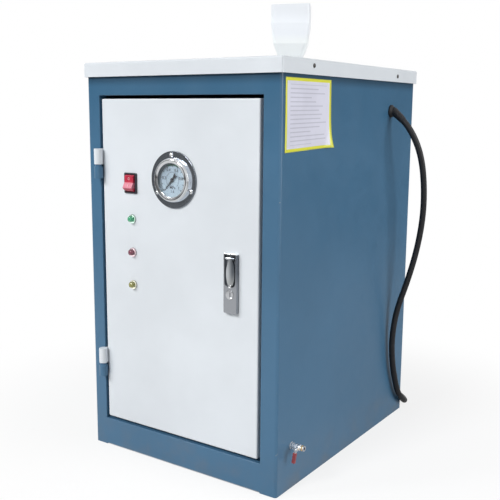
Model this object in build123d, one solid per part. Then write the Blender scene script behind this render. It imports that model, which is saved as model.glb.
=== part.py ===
from build123d import *
import math
import os

# Electric steam generator: a floor-standing sheet-metal cabinet with a boiler inside.
# Millimetres. X to the right, Y to the back, Z up. The origin is the middle of the base on the floor.

# Cabinet
cabinet_width = 346.0
cabinet_depth = 424.0
overall_height = 600.0
sheet = 1.2
corner_bend = 4.0
rear_flange = 18.0
overrun = 5.0

# Lid
lid_skirt = 21.0
lid_overhang = 3.5
lid_bend = 2.5
lid_seam = 0.4
lid_seam_depth = 0.5

# Base pan
base_wall = 25.0
base_clearance = 0.2

# Front frame round the door's opening, and the door
left_stile_width = 24.0
right_stile_width = 27.5
bottom_rail_height = 44.3
top_rail_height = 48.0
foot_relief = 2.0
door_gap = 5.0
door_fold = 15.0
door_bend = 2.0
opening_return = 14.0
opening_bend = 1.1

# Lift-off hinges
hinge_offset = 2.5
hinge_barrel_radius = 6.5
hinge_barrel_standoff = 7.0
hinge_upper_length = 23.5
hinge_lower_length = 17.5
hinge_collar_height = 3.1
hinge_collar_radius = 5.0
hinge_play = 0.3
hinge_pin_radius = 3.0
hinge_leaf = 2.0
hinge_leaf_depth = 11.0
running_fit = 0.05
upper_hinge_from_top = 118.0
lower_hinge_from_bottom = 68.7

# Pressure gauge
gauge_from_left = 138.9
gauge_from_top = 113.6
gauge_flange_radius = 41.0
gauge_flange = 2.0
gauge_case_radius = 30.0
gauge_case_depth = 34.0
gauge_bezel_radius = 31.5
gauge_bezel_height = 6.4
gauge_bezel_lip = 3.2
gauge_bezel_round = 3.5
gauge_dial_radius = 27.5
gauge_dial_thickness = 1.0
gauge_glass_thickness = 1.2
gauge_glass_gap = 3.4
gauge_slip = 0.1
gauge_stem_radius = 6.6
gauge_stem_length = 16.0
needle_thickness = 0.7
needle_lift = 1.0
needle_length = 20.0
needle_tail = 10.0
needle_tail_half_width = 3.0
needle_root = 1.3
needle_hub_radius = 3.0
needle_spindle_radius = 1.2
needle_rest_degrees = 229.0

# Rocker switch
switch_from_left = 56.6
switch_from_top = 122.7
switch_width = 24.4
switch_height = 30.4
switch_bezel = 2.2
switch_corner = 1.5
switch_border = 3.2
switch_body_inset = 1.5
switch_body_depth = 24.0
switch_cavity_depth = 9.0
rocker_clearance = 0.6
rocker_radius = 12.5
rocker_valley = 6.5
rocker_corner_degrees = 45.6
rocker_end_degrees = 96.0
rocker_tilt_degrees = 15.0
rocker_pivot_depth = 1.0
rocker_back = 3.2
rocker_pin_radius = 1.5
rocker_pin_reach = 1.2

# Signal lamps
lamp_from_left = 58.2
lamps_from_top = {"green": 176.0, "red": 226.4, "yellow": 276.0}
lamp_bezel_radius = 7.0
lamp_bezel_height = 2.4
lamp_bezel_edge = 1.2
lamp_lens_radius = 5.1
lamp_lens_seat = 1.0
lamp_lens_wall = 4.6
lamp_lens_dome = 3.0
lamp_barrel_radius = 4.8
lamp_barrel_depth = 18.0
lamp_slip = 0.1

# Door lock with a fold-out handle
lock_from_right = 43.3
lock_from_top = 250.4
lock_width = 22.0
lock_height = 84.5
lock_stand = 6.0
lock_corner = 2.0
lock_edge = 0.9
lock_wall = 2.0
lock_floor = 1.0
lock_pocket_top = 40.2
lock_pocket_bottom = -4.6
lock_pocket_round = 6.0
lock_pivot_up = 35.0
lock_pivot_out = 3.7
lock_pin_radius = 1.2
lock_cylinder_down = 15.5
lock_cylinder_radius = 6.6
lock_cylinder_play = 0.2
lock_cylinder_sink = 3.0
lock_cylinder_proud = 0.8
lock_dish = 1.4
lock_key_width = 1.6
lock_key_length = 6.4
lock_key_depth = 2.0
handle_eye = 2.2
handle_neck = 2.0
handle_half_width = 7.2
handle_tip_half_width = 4.0
handle_waist_up = 11.4
handle_tip_down = 2.2
handle_tip_round = 1.1
handle_back_gap = 1.0
handle_thickness = 3.6
handle_edge = 0.8
lock_case_width = 17.6
lock_case_height = 58.0
lock_case_depth = 20.0
lock_case_slip = 0.4
latch_reach = 24.0
latch_height = 14.0
latch_thickness = 3.0
latch_set_back = 12.0

# Drain valve on the right side
drain_from_front = 39.0
drain_z = 65.0
drain_pipe_radius = 3.8
drain_hole_play = 0.3
drain_washer_radius = 5.2
drain_washer = 0.8
drain_nut_flats = 8.6
drain_nut = 3.0
drain_neck = 2.2
drain_hex_flats = 8.4
drain_hex = 4.5
drain_ball_radius = 4.8
drain_ball_length = 6.0
drain_outlet_radius = 3.9
drain_outlet_length = 5.0
drain_bore_radius = 2.2
drain_bore_depth = 8.0
drain_boss_radius = 2.6
drain_boss_out = 9.5
drain_stem_radius = 1.3
drain_stem_depth = 3.0
drain_lever_gap = 0.4
drain_lever_thickness = 1.2
drain_lever_hub = 3.2
drain_lever_width = 3.4
drain_lever_reach = 19.5
drain_lever_lean_degrees = 9.0
drain_grip_start = 4.6
drain_grip_width = 5.0
drain_grip_wall = 0.8
drain_grip_over = 0.9
drain_elbow_inset = 55.0
drain_elbow_radius = 22.0

# Water funnel on the lid
funnel_x = 0.0
funnel_from_back = 120.3
funnel_turn_degrees = 28.0
funnel_wall = 1.8
funnel_rim_side = 64.0
funnel_shoulder_side = 56.5
funnel_corner = 6.5
funnel_rim_up = 105.0
funnel_rim_slant_degrees = 1.6
funnel_belt_up = 74.0
funnel_shoulder_up = 41.5
funnel_throat_up = 6.0
funnel_throat_radius = 15.0
funnel_seat_radius = 19.0
funnel_seat = 3.0
funnel_neck_radius = 10.5
funnel_neck_drop = 16.0
funnel_bore_radius = 8.0
funnel_hole_play = 0.3

# Boiler inside
boiler_side_gap = 68.0
boiler_back_gap = 37.0
boiler_bottom = 40.0
boiler_headroom = 190.0
boiler_dish = 34.0
boiler_wall = 4.0
stand_inset = 25.0
stand_wall = 4.0
stand_arch_width = 70.0
stand_arch_height = 24.0
heater_up = 150.0
heater_neck_radius = 33.0
heater_neck_length = 26.0
heater_flange_radius = 46.0
heater_flange_thickness = 9.0
heater_cap_radius = 27.0
heater_cap = 20.0
heater_edge = 3.0
pipe_radius = 9.0
steam_from_right = 111.0
steam_behind_axis = 8.0
steam_from_top = 100.0
steam_elbow_radius = 26.0
steam_nut_flats = 28.0
steam_nut = 6.0
steam_outlet_radius = 10.48
steam_outlet_length = 20.0
steam_bore_radius = 7.0
steam_bore_depth = 16.0
steam_hole_play = 0.3

# Power cable
cable_radius = 5.0
cable_exit_from_back = 90.5
cable_exit_from_top = 67.5
grommet_radius = 10.0
grommet_nose_radius = 6.4
grommet_proud = 6.0
grommet_inside = 5.0
grommet_flange = 2.2
coil_from_right = 134.4
coil_behind = 100.5
coil_inner_radius = 45.0
coil_outer_radius = 65.0
coil_height = 20.0
plug_nose_length = 22.0
plug_nose_radius = 8.0
plug_grip_length = 24.0
plug_grip_radius = 14.0
plug_head_length = 15.0
plug_head_radius = 18.5
plug_edge = 2.0
plug_pin_radius = 2.4
plug_pin_length = 19.0
plug_pin_spacing = 19.0

# Route of the cable's free run, from the grommet to the coil behind the cabinet: distance out from the
# right panel, distance behind the back, and height as a share of the way from the floor to the exit
run_places_and_height_shares = [
    (4.0, -90.2, 1.0009),
    (20.5, -91.0, 0.9706),
    (37.0, -88.5, 0.9223),
    (46.5, -77.5, 0.8588),
    (49.5, -65.5, 0.7754),
    (48.5, -57.5, 0.6768),
    (41.5, -57.0, 0.5706),
    (29.0, -62.0, 0.4645),
    (15.5, -68.5, 0.3659),
    (9.5, -70.0, 0.2711),
    (8.5, -62.5, 0.1877),
    (10.0, -47.0, 0.1194),
    (14.0, -28.0, 0.0701),
    (16.5, -3.0, 0.0360),
    (12.5, 25.0, 0.0133),
    (-4.0, 49.0, 0.0028),
    (-29.5, 63.0, 0.0000),
    (-58.0, 63.5, 0.0000),
    (-86.0, 54.5, 0.0000),
    (-113.5, 44.3, 0.0000),
]

# Route of its last stretch, from the top of the coil to the plug, measured from the coil's middle
tail_places = [
    (5.2, -59.8, 15.0),
    (-21.6, -62.2, 12.0),
    (-50.6, -62.5, 9.0),
    (-78.6, -59.5, 12.0),
    (-104.6, -53.5, 18.5),
    (-128.6, -46.0, 18.5),
]

# Places worked out from the sizes above
half_width = cabinet_width / 2
half_depth = cabinet_depth / 2
front = -half_depth
shell_top = overall_height - sheet
lid_bottom = overall_height - lid_skirt
opening_left = -half_width + left_stile_width
opening_right = half_width - right_stile_width
opening_bottom = bottom_rail_height
opening_top = overall_height - top_rail_height
door_left = opening_left + door_gap
door_right = opening_right - door_gap
door_bottom = opening_bottom + door_gap
door_top = opening_top - door_gap
hinge_x = door_left - hinge_offset
hinge_y = front - hinge_barrel_standoff
hinge_heights = {
    "upper": door_top - upper_hinge_from_top,
    "lower": door_bottom + lower_hinge_from_bottom,
}
gauge_x = door_left + gauge_from_left
gauge_z = door_top - gauge_from_top
switch_x = door_left + switch_from_left
switch_z = door_top - switch_from_top
lamp_x = door_left + lamp_from_left
lamp_heights = {colour: door_top - drop for colour, drop in lamps_from_top.items()}
lock_x = door_right - lock_from_right
lock_z = door_top - lock_from_top
drain_y = front + drain_from_front
drain_elbow_x = half_width - drain_elbow_inset
funnel_y = half_depth - funnel_from_back
boiler_radius = half_width - boiler_side_gap
boiler_y = half_depth - boiler_back_gap - boiler_radius
boiler_top = overall_height - boiler_headroom
stand_radius = boiler_radius - stand_inset
steam_x = half_width - steam_from_right
steam_y = boiler_y + steam_behind_axis
steam_z = overall_height - steam_from_top
cable_exit_y = half_depth - cable_exit_from_back
cable_exit_z = overall_height - cable_exit_from_top
coil_x = half_width - coil_from_right
coil_y = half_depth + coil_behind
cable_climb = cable_exit_z - cable_radius
cable_route = [
    (half_width + out, half_depth + behind, cable_radius + share * cable_climb)
    for out, behind, share in run_places_and_height_shares
]
tail_route = [(coil_x + along, coil_y + behind, height) for along, behind, height in tail_places]
switch_window_half_width = switch_width / 2 - switch_border
rocker_half_width = switch_window_half_width - rocker_clearance
switch_window_half_height = rocker_radius + rocker_clearance
lock_pocket_half_width = lock_width / 2 - lock_wall
gauge_dial_front = gauge_flange + gauge_dial_thickness
gauge_glass_back = gauge_dial_front + gauge_glass_gap


def box_between(low, high):
    """A block from its lowest to its highest corner."""
    size = [b - a for a, b in zip(low, high)]
    return Pos(*low) * Box(*size, align=(Align.MIN, Align.MIN, Align.MIN))


def turned(outline):
    """A body of revolution about Z from (radius, height) points."""
    points = [(radius, 0, height) for radius, height in outline]
    face = make_face(Polyline(*points, close=True).edges())
    return revolve(face, Axis.Z)


def cap_middle(radius, rise):
    """Point halfway along the arc of a spherical cap, as (radius, height) from the cap's rim."""
    ball = (radius ** 2 + rise ** 2) / (2 * rise)
    half_angle = math.asin(radius / ball) / 2
    return ball * math.sin(half_angle), rise - ball + ball * math.cos(half_angle)


def hexagon(flats, low, high):
    """A hexagonal prism about Z, measured across its flats."""
    profile = RegularPolygon(radius=flats / 2, side_count=6, major_radius=False)
    return Pos(0, 0, low) * extrude(profile, high - low)


def on_door(x, z):
    """Plane on the door's face: X right, Y up, Z out of the door."""
    return Plane((x, front, z), x_dir=(1, 0, 0), z_dir=(0, -1, 0))


def on_right_side(y, z):
    """Plane on the right panel: X to the back, Y up, Z out of the panel."""
    return Plane((half_width, y, z), x_dir=(0, 1, 0), z_dir=(1, 0, 0))


def cabinet_ring(low, high):
    """The folded sheet all round the cabinet, as a tall tube with bent corners."""
    outer = RectangleRounded(cabinet_width, cabinet_depth, corner_bend)
    inner = RectangleRounded(cabinet_width - 2 * sheet, cabinet_depth - 2 * sheet, corner_bend - sheet)
    return Pos(0, 0, low) * extrude(outer - inner, high - low)


def front_frame():
    """Front sheet with its bent corners, the door opening and the opening's folded-in edges."""
    reach = half_width + overrun
    strip = box_between((-reach, front - overrun, -overrun), (reach, front + corner_bend, shell_top + overrun))
    frame = cabinet_ring(0, shell_top) & strip
    back = front + opening_return
    lining = box_between(
        (opening_left - sheet, front, opening_bottom - sheet),
        (opening_right + sheet, back, opening_top + sheet),
    )
    hole = box_between(
        (opening_left, front - overrun, opening_bottom),
        (opening_right, back + overrun, opening_top),
    )
    relief = box_between(
        (opening_left, front - overrun, -overrun), (opening_right, front + corner_bend, foot_relief)
    )
    frame = frame + lining - hole - relief
    middle_x = (opening_left + opening_right) / 2
    middle_z = (opening_bottom + opening_top) / 2
    reach_x = (opening_right - opening_left) / 2 + opening_bend
    reach_z = (opening_top - opening_bottom) / 2 + opening_bend
    edges = frame.edges().filter_by_position(Axis.Y, front - opening_bend / 2, front + opening_bend / 2)
    rim = [
        edge
        for edge in edges
        if abs(edge.center().X - middle_x) < reach_x and abs(edge.center().Z - middle_z) < reach_z
    ]
    return fillet(rim, opening_bend)


def split_front(frame):
    """The front frame cut into two stiles and two rails, level with the opening's edges."""
    reach = half_width + overrun
    back = front + opening_return + overrun
    low = box_between((-reach, front - overrun, -overrun), (reach, back, opening_bottom))
    high = box_between((-reach, front - overrun, opening_top), (reach, back, shell_top + overrun))
    left = box_between((-reach, front - overrun, opening_bottom), (0, back, opening_top))
    right = box_between((0, front - overrun, opening_bottom), (reach, back, opening_top))
    return {
        "bottom_rail": frame & low,
        "top_rail": frame & high,
        "left_stile": frame & left,
        "right_stile": frame & right,
    }


def side_panel(side):
    """A side of the cabinet with its folded rear flange; side is 1 on the right, -1 on the left."""
    inner_edge = side * (half_width - rear_flange)
    outer_edge = side * (half_width + overrun)
    low_x = min(inner_edge, outer_edge)
    high_x = max(inner_edge, outer_edge)
    zone = box_between((low_x, front + corner_bend, -overrun), (high_x, half_depth + overrun, shell_top + overrun))
    panel = cabinet_ring(0, shell_top) & zone
    if side > 0:
        cable_hole = on_right_side(cable_exit_y, cable_exit_z) * Cylinder(grommet_nose_radius, overrun)
        drain_hole = on_right_side(drain_y, drain_z) * Cylinder(drain_pipe_radius + drain_hole_play, overrun)
        panel = panel - cable_hole - drain_hole
    return panel


def back_panel():
    """The back cover, screwed to the rear flanges from inside, with the steam outlet's hole."""
    edge = half_width - corner_bend
    panel = box_between((-edge, half_depth - 2 * sheet, base_wall), (edge, half_depth - sheet, shell_top))
    hole = Cylinder(steam_outlet_radius + steam_hole_play, cabinet_depth)
    return panel - Pos(steam_x, half_depth, steam_z) * Rot(90, 0, 0) * hole


def base_pan():
    """The bottom tray, with its walls folded up inside the cabinet's sheets."""
    width = cabinet_width - 2 * (sheet + base_clearance)
    depth = cabinet_depth - 2 * (sheet + base_clearance)
    bend = corner_bend - sheet
    outer = extrude(RectangleRounded(width, depth, bend), base_wall)
    inner = extrude(RectangleRounded(width - 2 * sheet, depth - 2 * sheet, bend - sheet), base_wall)
    return outer - Pos(0, 0, sheet) * inner


def lid():
    """The cap: a top sheet with a folded skirt, a shallow seam at each corner, and the hole for the funnel's neck."""
    width = cabinet_width + 2 * lid_overhang
    depth = cabinet_depth + 2 * lid_overhang
    block = extrude(RectangleRounded(width, depth, lid_bend), lid_skirt)
    block = fillet(block.faces().sort_by(Axis.Z)[-1].edges(), lid_bend)
    hollow = extrude(RectangleRounded(width - 2 * sheet, depth - 2 * sheet, lid_bend - sheet), lid_skirt - sheet)
    seam_reach = (math.sqrt(2) - 1) * lid_bend + lid_seam_depth
    for side in (-1, 1):
        for end in (-1, 1):
            seam = Rot(0, 0, side * end * 45) * Box(2 * seam_reach, lid_seam, 2 * (lid_skirt - lid_bend))
            hollow = hollow + Pos(side * width / 2, end * depth / 2, 0) * seam
    neck = Pos(funnel_x, funnel_y, 0) * Cylinder(funnel_neck_radius + funnel_hole_play, 2 * lid_skirt + overrun)
    return Pos(0, 0, lid_bottom) * (block - hollow - neck)


def funnel_section(side, corner, height):
    """A rounded square section of the funnel, turned on its axis."""
    return Pos(0, 0, height) * RectangleRounded(side, side, corner)


def funnel_form(shrink):
    """The funnel's outside, or its inside when shrunk by the wall."""
    corner = funnel_corner - shrink
    levels = [
        (2 * funnel_throat_radius, funnel_throat_up),
        (funnel_shoulder_side, funnel_shoulder_up),
        (funnel_rim_side, funnel_belt_up),
        (funnel_rim_side, funnel_rim_up),
    ]
    sections = [funnel_section(side - 2 * shrink, corner, height) for side, height in levels]
    form = Part()
    for low, high in zip(sections, sections[1:]):
        form = form + loft([low, high], ruled=True)
    return form


def filler_funnel():
    """The water funnel: a square tapered cup cut off aslant, on a sloped bottom, a seat and a neck."""
    cut = Box(2 * funnel_rim_side, 2 * funnel_rim_side, overrun, align=(Align.MAX, Align.CENTER, Align.MIN))
    cut = Pos(funnel_rim_side / 2, 0, funnel_rim_up) * Rot(0, -funnel_rim_slant_degrees, 0) * cut
    cup = funnel_form(0) - funnel_form(funnel_wall) - cut
    seat = Cylinder(funnel_seat_radius, funnel_seat, align=(Align.CENTER, Align.CENTER, Align.MIN))
    throat = Cylinder(funnel_throat_radius, funnel_throat_up, align=(Align.CENTER, Align.CENTER, Align.MIN))
    neck = Pos(0, 0, -funnel_neck_drop) * Cylinder(
        funnel_neck_radius, funnel_neck_drop + funnel_seat, align=(Align.CENTER, Align.CENTER, Align.MIN)
    )
    bore_length = funnel_neck_drop + funnel_throat_up + 2 * funnel_wall + overrun
    bore = Pos(0, 0, -funnel_neck_drop - overrun) * Cylinder(
        funnel_bore_radius, bore_length + overrun, align=(Align.CENTER, Align.CENTER, Align.MIN)
    )
    whole = cup + seat + throat + neck - bore
    return Pos(funnel_x, funnel_y, overall_height) * Rot(0, 0, funnel_turn_degrees) * whole


def door_panel():
    """The door: a folded pan with holes for the gauge, switch, lamps and lock."""
    back = front + door_fold
    pan = box_between((door_left, front, door_bottom), (door_right, back, door_top))
    rounded = pan.faces().sort_by(Axis.Y)[0].edges() + pan.edges().filter_by(Axis.Y)
    pan = fillet(rounded, door_bend)
    pan = pan - box_between(
        (door_left + sheet, front + sheet, door_bottom + sheet),
        (door_right - sheet, back + overrun, door_top - sheet),
    )
    cut_depth = 2 * door_fold
    gauge_hole = Cylinder(gauge_case_radius + gauge_slip, cut_depth)
    switch_hole = Box(switch_width - 2 * switch_body_inset, switch_height - 2 * switch_body_inset, cut_depth)
    lock_hole = Box(lock_case_width + lock_case_slip, lock_case_height + lock_case_slip, cut_depth)
    pan = pan - on_door(gauge_x, gauge_z) * gauge_hole
    pan = pan - on_door(switch_x, switch_z) * switch_hole
    pan = pan - on_door(lock_x, lock_z) * lock_hole
    for height in lamp_heights.values():
        pan = pan - on_door(lamp_x, height) * Cylinder(lamp_barrel_radius + lamp_slip, cut_depth)
    return pan


def hinge_barrel(length):
    """A hinge barrel standing on Z = 0, with softened ends."""
    barrel = Cylinder(hinge_barrel_radius, length, align=(Align.CENTER, Align.CENTER, Align.MIN))
    return chamfer(barrel.edges(), hinge_leaf / 4)


def frame_hinge(base):
    """Lower half of a hinge: a barrel with a leaf welded to the opening's left fold, and the pin's seat."""
    leaf_left = opening_left - hinge_x
    leaf = box_between(
        (leaf_left, 0, 0), (leaf_left + hinge_leaf, hinge_barrel_standoff + hinge_leaf_depth, hinge_lower_length)
    )
    seat = Cylinder(hinge_pin_radius, 2 * hinge_lower_length + overrun)
    return Pos(hinge_x, hinge_y, base) * (hinge_barrel(hinge_lower_length) + leaf - seat)


def hinge_pin(base):
    """The fixed pin: a shank in the lower barrel, a thrust collar and the journal for the door's barrel."""
    collar_top = hinge_lower_length + hinge_collar_height
    tip = collar_top + hinge_play + hinge_upper_length - hinge_collar_height
    pin = turned([
        (0, 0),
        (hinge_pin_radius, 0),
        (hinge_pin_radius, hinge_lower_length),
        (hinge_collar_radius, hinge_lower_length),
        (hinge_collar_radius, collar_top),
        (hinge_pin_radius, collar_top),
        (hinge_pin_radius, tip),
        (0, tip),
    ])
    return Pos(hinge_x, hinge_y, base) * pin


def door_hinge(base):
    """Upper half of a hinge: a barrel turning on the pin, with a leaf welded to the door's left fold."""
    bottom = base + hinge_lower_length + hinge_collar_height + hinge_play
    leaf_right = door_left - hinge_x
    leaf = box_between(
        (leaf_right - hinge_leaf, 0, 0), (leaf_right, hinge_barrel_standoff + hinge_leaf_depth, hinge_upper_length)
    )
    bore = Cylinder(hinge_pin_radius + running_fit, 2 * (hinge_upper_length - hinge_leaf))
    return Pos(hinge_x, hinge_y, bottom) * (hinge_barrel(hinge_upper_length) + leaf - bore)


def gauge_case():
    """The gauge's can behind the door, its front flange and the threaded stem at the back."""
    back = -gauge_case_depth
    can = turned([
        (0, back),
        (gauge_case_radius, back),
        (gauge_case_radius, 0),
        (gauge_flange_radius, 0),
        (gauge_flange_radius, gauge_flange),
        (0, gauge_flange),
    ])
    stem = Pos(0, 0, back - gauge_stem_length) * Cylinder(
        gauge_stem_radius, gauge_stem_length, align=(Align.CENTER, Align.CENTER, Align.MIN)
    )
    rim = can.edges().filter_by(GeomType.CIRCLE).group_by(Axis.Z)[-1]
    return on_door(gauge_x, gauge_z) * (fillet(rim, gauge_flange / 2) + stem)


def gauge_bezel():
    """The polished ring that holds the glass, with a rounded shoulder."""
    top = gauge_flange + gauge_bezel_height
    lip_back = gauge_glass_back + gauge_glass_thickness
    inner = gauge_dial_radius + gauge_slip
    ring = turned([
        (inner, gauge_flange),
        (gauge_bezel_radius, gauge_flange),
        (gauge_bezel_radius, top),
        (gauge_dial_radius - gauge_bezel_lip, top),
        (gauge_dial_radius - gauge_bezel_lip, lip_back),
        (inner, lip_back),
    ])
    shoulder = ring.edges().filter_by(GeomType.CIRCLE).group_by(Axis.Z)[-1].sort_by(SortBy.RADIUS)[-1]
    return on_door(gauge_x, gauge_z) * fillet(shoulder, gauge_bezel_round)


def gauge_dial():
    """The dial plate, with the hole for the needle's spindle."""
    plate = Cylinder(gauge_dial_radius, gauge_dial_thickness, align=(Align.CENTER, Align.CENTER, Align.MIN))
    hole = Cylinder(needle_spindle_radius + running_fit, 2 * gauge_dial_thickness + overrun)
    return on_door(gauge_x, gauge_z) * Pos(0, 0, gauge_flange) * (plate - hole)


def gauge_glass():
    """The flat glass under the bezel's lip."""
    pane = Cylinder(gauge_dial_radius, gauge_glass_thickness, align=(Align.CENTER, Align.CENTER, Align.MIN))
    return on_door(gauge_x, gauge_z) * Pos(0, 0, gauge_glass_back) * pane


def gauge_needle():
    """The pointer: a tapered blade, a tail that widens to its end, a hub and its spindle."""
    blade = make_face(Polyline((0, needle_root), (needle_length, 0), (0, -needle_root), close=True).edges())
    tail_corners = [(-needle_tail, needle_tail_half_width), (-needle_tail, -needle_tail_half_width)]
    tail = make_face(Polyline((0, 0), *tail_corners, close=True).edges())
    outline = blade + Circle(needle_hub_radius) + tail
    pointer = Pos(0, 0, gauge_dial_front + needle_lift) * extrude(outline, needle_thickness)
    spindle = Pos(0, 0, gauge_flange + running_fit) * Cylinder(
        needle_spindle_radius,
        gauge_dial_thickness + needle_lift,
        align=(Align.CENTER, Align.CENTER, Align.MIN),
    )
    return on_door(gauge_x, gauge_z) * Rot(0, 0, needle_rest_degrees) * (pointer + spindle)


def switch_housing():
    """The switch's bezel and body, hollow where the rocker swings."""
    bezel = extrude(RectangleRounded(switch_width, switch_height, switch_corner), switch_bezel)
    bezel = fillet(bezel.faces().sort_by(Axis.Z)[-1].edges(), switch_bezel / 3)
    body_width = switch_width - 2 * switch_body_inset - 2 * lamp_slip
    body_height = switch_height - 2 * switch_body_inset - 2 * lamp_slip
    body = Box(body_width, body_height, switch_body_depth, align=(Align.CENTER, Align.CENTER, Align.MAX))
    well = Box(2 * switch_window_half_width, 2 * switch_window_half_height, switch_bezel + switch_cavity_depth + overrun)
    well_middle = (switch_bezel + overrun - switch_cavity_depth) / 2
    pin_half = rocker_half_width + rocker_clearance + rocker_pin_reach + running_fit
    pin_hole = Rot(0, 90, 0) * Cylinder(rocker_pin_radius + running_fit, 2 * pin_half)
    housing = bezel + body - Pos(0, 0, well_middle) * well - Pos(0, 0, -rocker_pivot_depth) * pin_hole
    return on_door(switch_x, switch_z) * housing


def switch_rocker():
    """The rocker: two sloped faces meeting in a valley, with ends round about the pivot pin."""
    corner = math.radians(rocker_corner_degrees)
    end = math.radians(rocker_end_degrees)
    middle = (corner + end) / 2
    right = [(rocker_radius * math.sin(a), rocker_radius * math.cos(a)) for a in (corner, middle, end)]
    left = [(-y, z) for y, z in right]
    outline = [
        Line((0, rocker_valley), right[0]),
        ThreePointArc(*right),
        Line(right[2], (0, -rocker_back)),
        Line((0, -rocker_back), left[2]),
        ThreePointArc(left[2], left[1], left[0]),
        Line(left[0], (0, rocker_valley)),
    ]
    side_plane = Plane((-rocker_half_width, 0, 0), x_dir=(0, 1, 0), z_dir=(1, 0, 0))
    paddle = side_plane * extrude(make_face(outline), 2 * rocker_half_width)
    pin = Rot(0, 90, 0) * Cylinder(rocker_pin_radius, 2 * (rocker_half_width + rocker_clearance + rocker_pin_reach))
    place = on_door(switch_x, switch_z) * Pos(0, 0, -rocker_pivot_depth)
    return place * Rot(-rocker_tilt_degrees, 0, 0) * (paddle + pin)


def lamp_bezel(height):
    """A lamp's ring on the door and its threaded barrel behind."""
    ring = turned([
        (0, -lamp_barrel_depth),
        (lamp_barrel_radius, -lamp_barrel_depth),
        (lamp_barrel_radius, 0),
        (lamp_bezel_radius, 0),
        (lamp_bezel_radius, lamp_bezel_edge),
        (lamp_lens_radius + lamp_slip + lamp_bezel_edge / 2, lamp_bezel_height),
        (lamp_lens_radius + lamp_slip, lamp_bezel_height),
        (lamp_lens_radius + lamp_slip, lamp_lens_seat),
        (0, lamp_lens_seat),
    ])
    return on_door(lamp_x, height) * ring


def lamp_lens(height):
    """A lamp's coloured cap with a domed end."""
    shoulder = lamp_lens_seat + lamp_lens_wall
    top = shoulder + lamp_lens_dome
    bow, rise = cap_middle(lamp_lens_radius, lamp_lens_dome)
    outline = [
        Line((0, lamp_lens_seat), (lamp_lens_radius, lamp_lens_seat)),
        Line((lamp_lens_radius, lamp_lens_seat), (lamp_lens_radius, shoulder)),
        ThreePointArc((lamp_lens_radius, shoulder), (bow, shoulder + rise), (0, top)),
        Line((0, top), (0, lamp_lens_seat)),
    ]
    profile = Plane.XZ * make_face(outline)
    return on_door(lamp_x, height) * revolve(profile, Axis.Z)


def lock_plate():
    """The lock's cover: a raised plate with the handle's pocket, its pin holes and the cylinder's seat."""
    plate = extrude(RectangleRounded(lock_width, lock_height, lock_corner), lock_stand)
    plate = fillet(plate.faces().sort_by(Axis.Z)[-1].edges(), lock_edge)
    pocket = box_between(
        (-lock_pocket_half_width, lock_pocket_bottom, lock_floor),
        (lock_pocket_half_width, lock_pocket_top, lock_stand + overrun),
    )
    pocket = fillet(pocket.edges().filter_by(Axis.Z).group_by(Axis.Y)[0], lock_pocket_round)
    pin_half = lock_pocket_half_width + lock_wall / 2
    pin_hole = Rot(0, 90, 0) * Cylinder(lock_pin_radius + running_fit, 2 * (pin_half + running_fit))
    seat = Pos(0, -lock_cylinder_down, lock_stand - lock_cylinder_sink) * Cylinder(
        lock_cylinder_radius + lock_cylinder_play, lock_stand, align=(Align.CENTER, Align.CENTER, Align.MIN)
    )
    plate = plate - pocket - Pos(0, lock_pivot_up, lock_pivot_out) * pin_hole - seat
    return on_door(lock_x, lock_z) * plate


def lock_handle():
    """The fold-out handle: a leaf that is narrow at its pin and widest at the middle."""
    top = (handle_neck, lock_pivot_up)
    waist = (handle_half_width, handle_waist_up)
    tip = (handle_tip_half_width, -handle_tip_down)
    outline = [
        ThreePointArc(top, waist, tip),
        ThreePointArc(tip, (0, -handle_tip_down - handle_tip_round), (-tip[0], tip[1])),
        ThreePointArc((-tip[0], tip[1]), (-waist[0], waist[1]), (-top[0], top[1])),
        Line((-top[0], top[1]), top),
    ]
    back = lock_floor + handle_back_gap
    leaf = Pos(0, 0, back) * extrude(make_face(outline), handle_thickness)
    leaf = fillet(leaf.faces().sort_by(Axis.Z)[-1].edges(), handle_edge)
    eye = Rot(0, 90, 0) * Cylinder(handle_eye, 2 * handle_half_width)
    pin = Rot(0, 90, 0) * Cylinder(lock_pin_radius, 2 * lock_pocket_half_width + lock_wall)
    return on_door(lock_x, lock_z) * (leaf + Pos(0, lock_pivot_up, lock_pivot_out) * (eye + pin))


def lock_cylinder():
    """The key cylinder: a dished round face with a key slot."""
    bottom = lock_stand - lock_cylinder_sink
    top = lock_stand + lock_cylinder_proud
    rim_share = 0.86
    dish_share = 0.62
    face = turned([
        (0, bottom),
        (lock_cylinder_radius, bottom),
        (lock_cylinder_radius, top - lock_cylinder_proud / 2),
        (rim_share * lock_cylinder_radius, top),
        (dish_share * lock_cylinder_radius, top - lock_dish),
        (0, top - lock_dish),
    ])
    slot = Pos(0, 0, top - lock_dish) * Box(lock_key_width, lock_key_length, 2 * lock_key_depth)
    return on_door(lock_x, lock_z - lock_cylinder_down) * (face - slot)


def lock_case():
    """The lock's body behind the door."""
    case = Box(lock_case_width, lock_case_height, lock_case_depth, align=(Align.CENTER, Align.CENTER, Align.MAX))
    case = fillet(case.edges().filter_by(Axis.Z), lock_corner)
    return on_door(lock_x, lock_z) * case


def latch_tongue():
    """The latch, drawn back so that it ends inside the door's fold."""
    start = lock_case_width / 2
    low = (start, -latch_height / 2, -latch_set_back - latch_thickness)
    high = (start + latch_reach, latch_height / 2, -latch_set_back)
    tongue = box_between(low, high)
    nose = tongue.edges().filter_by(Axis.Z).group_by(Axis.X)[-1]
    return on_door(lock_x, lock_z) * chamfer(nose, latch_thickness)


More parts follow.
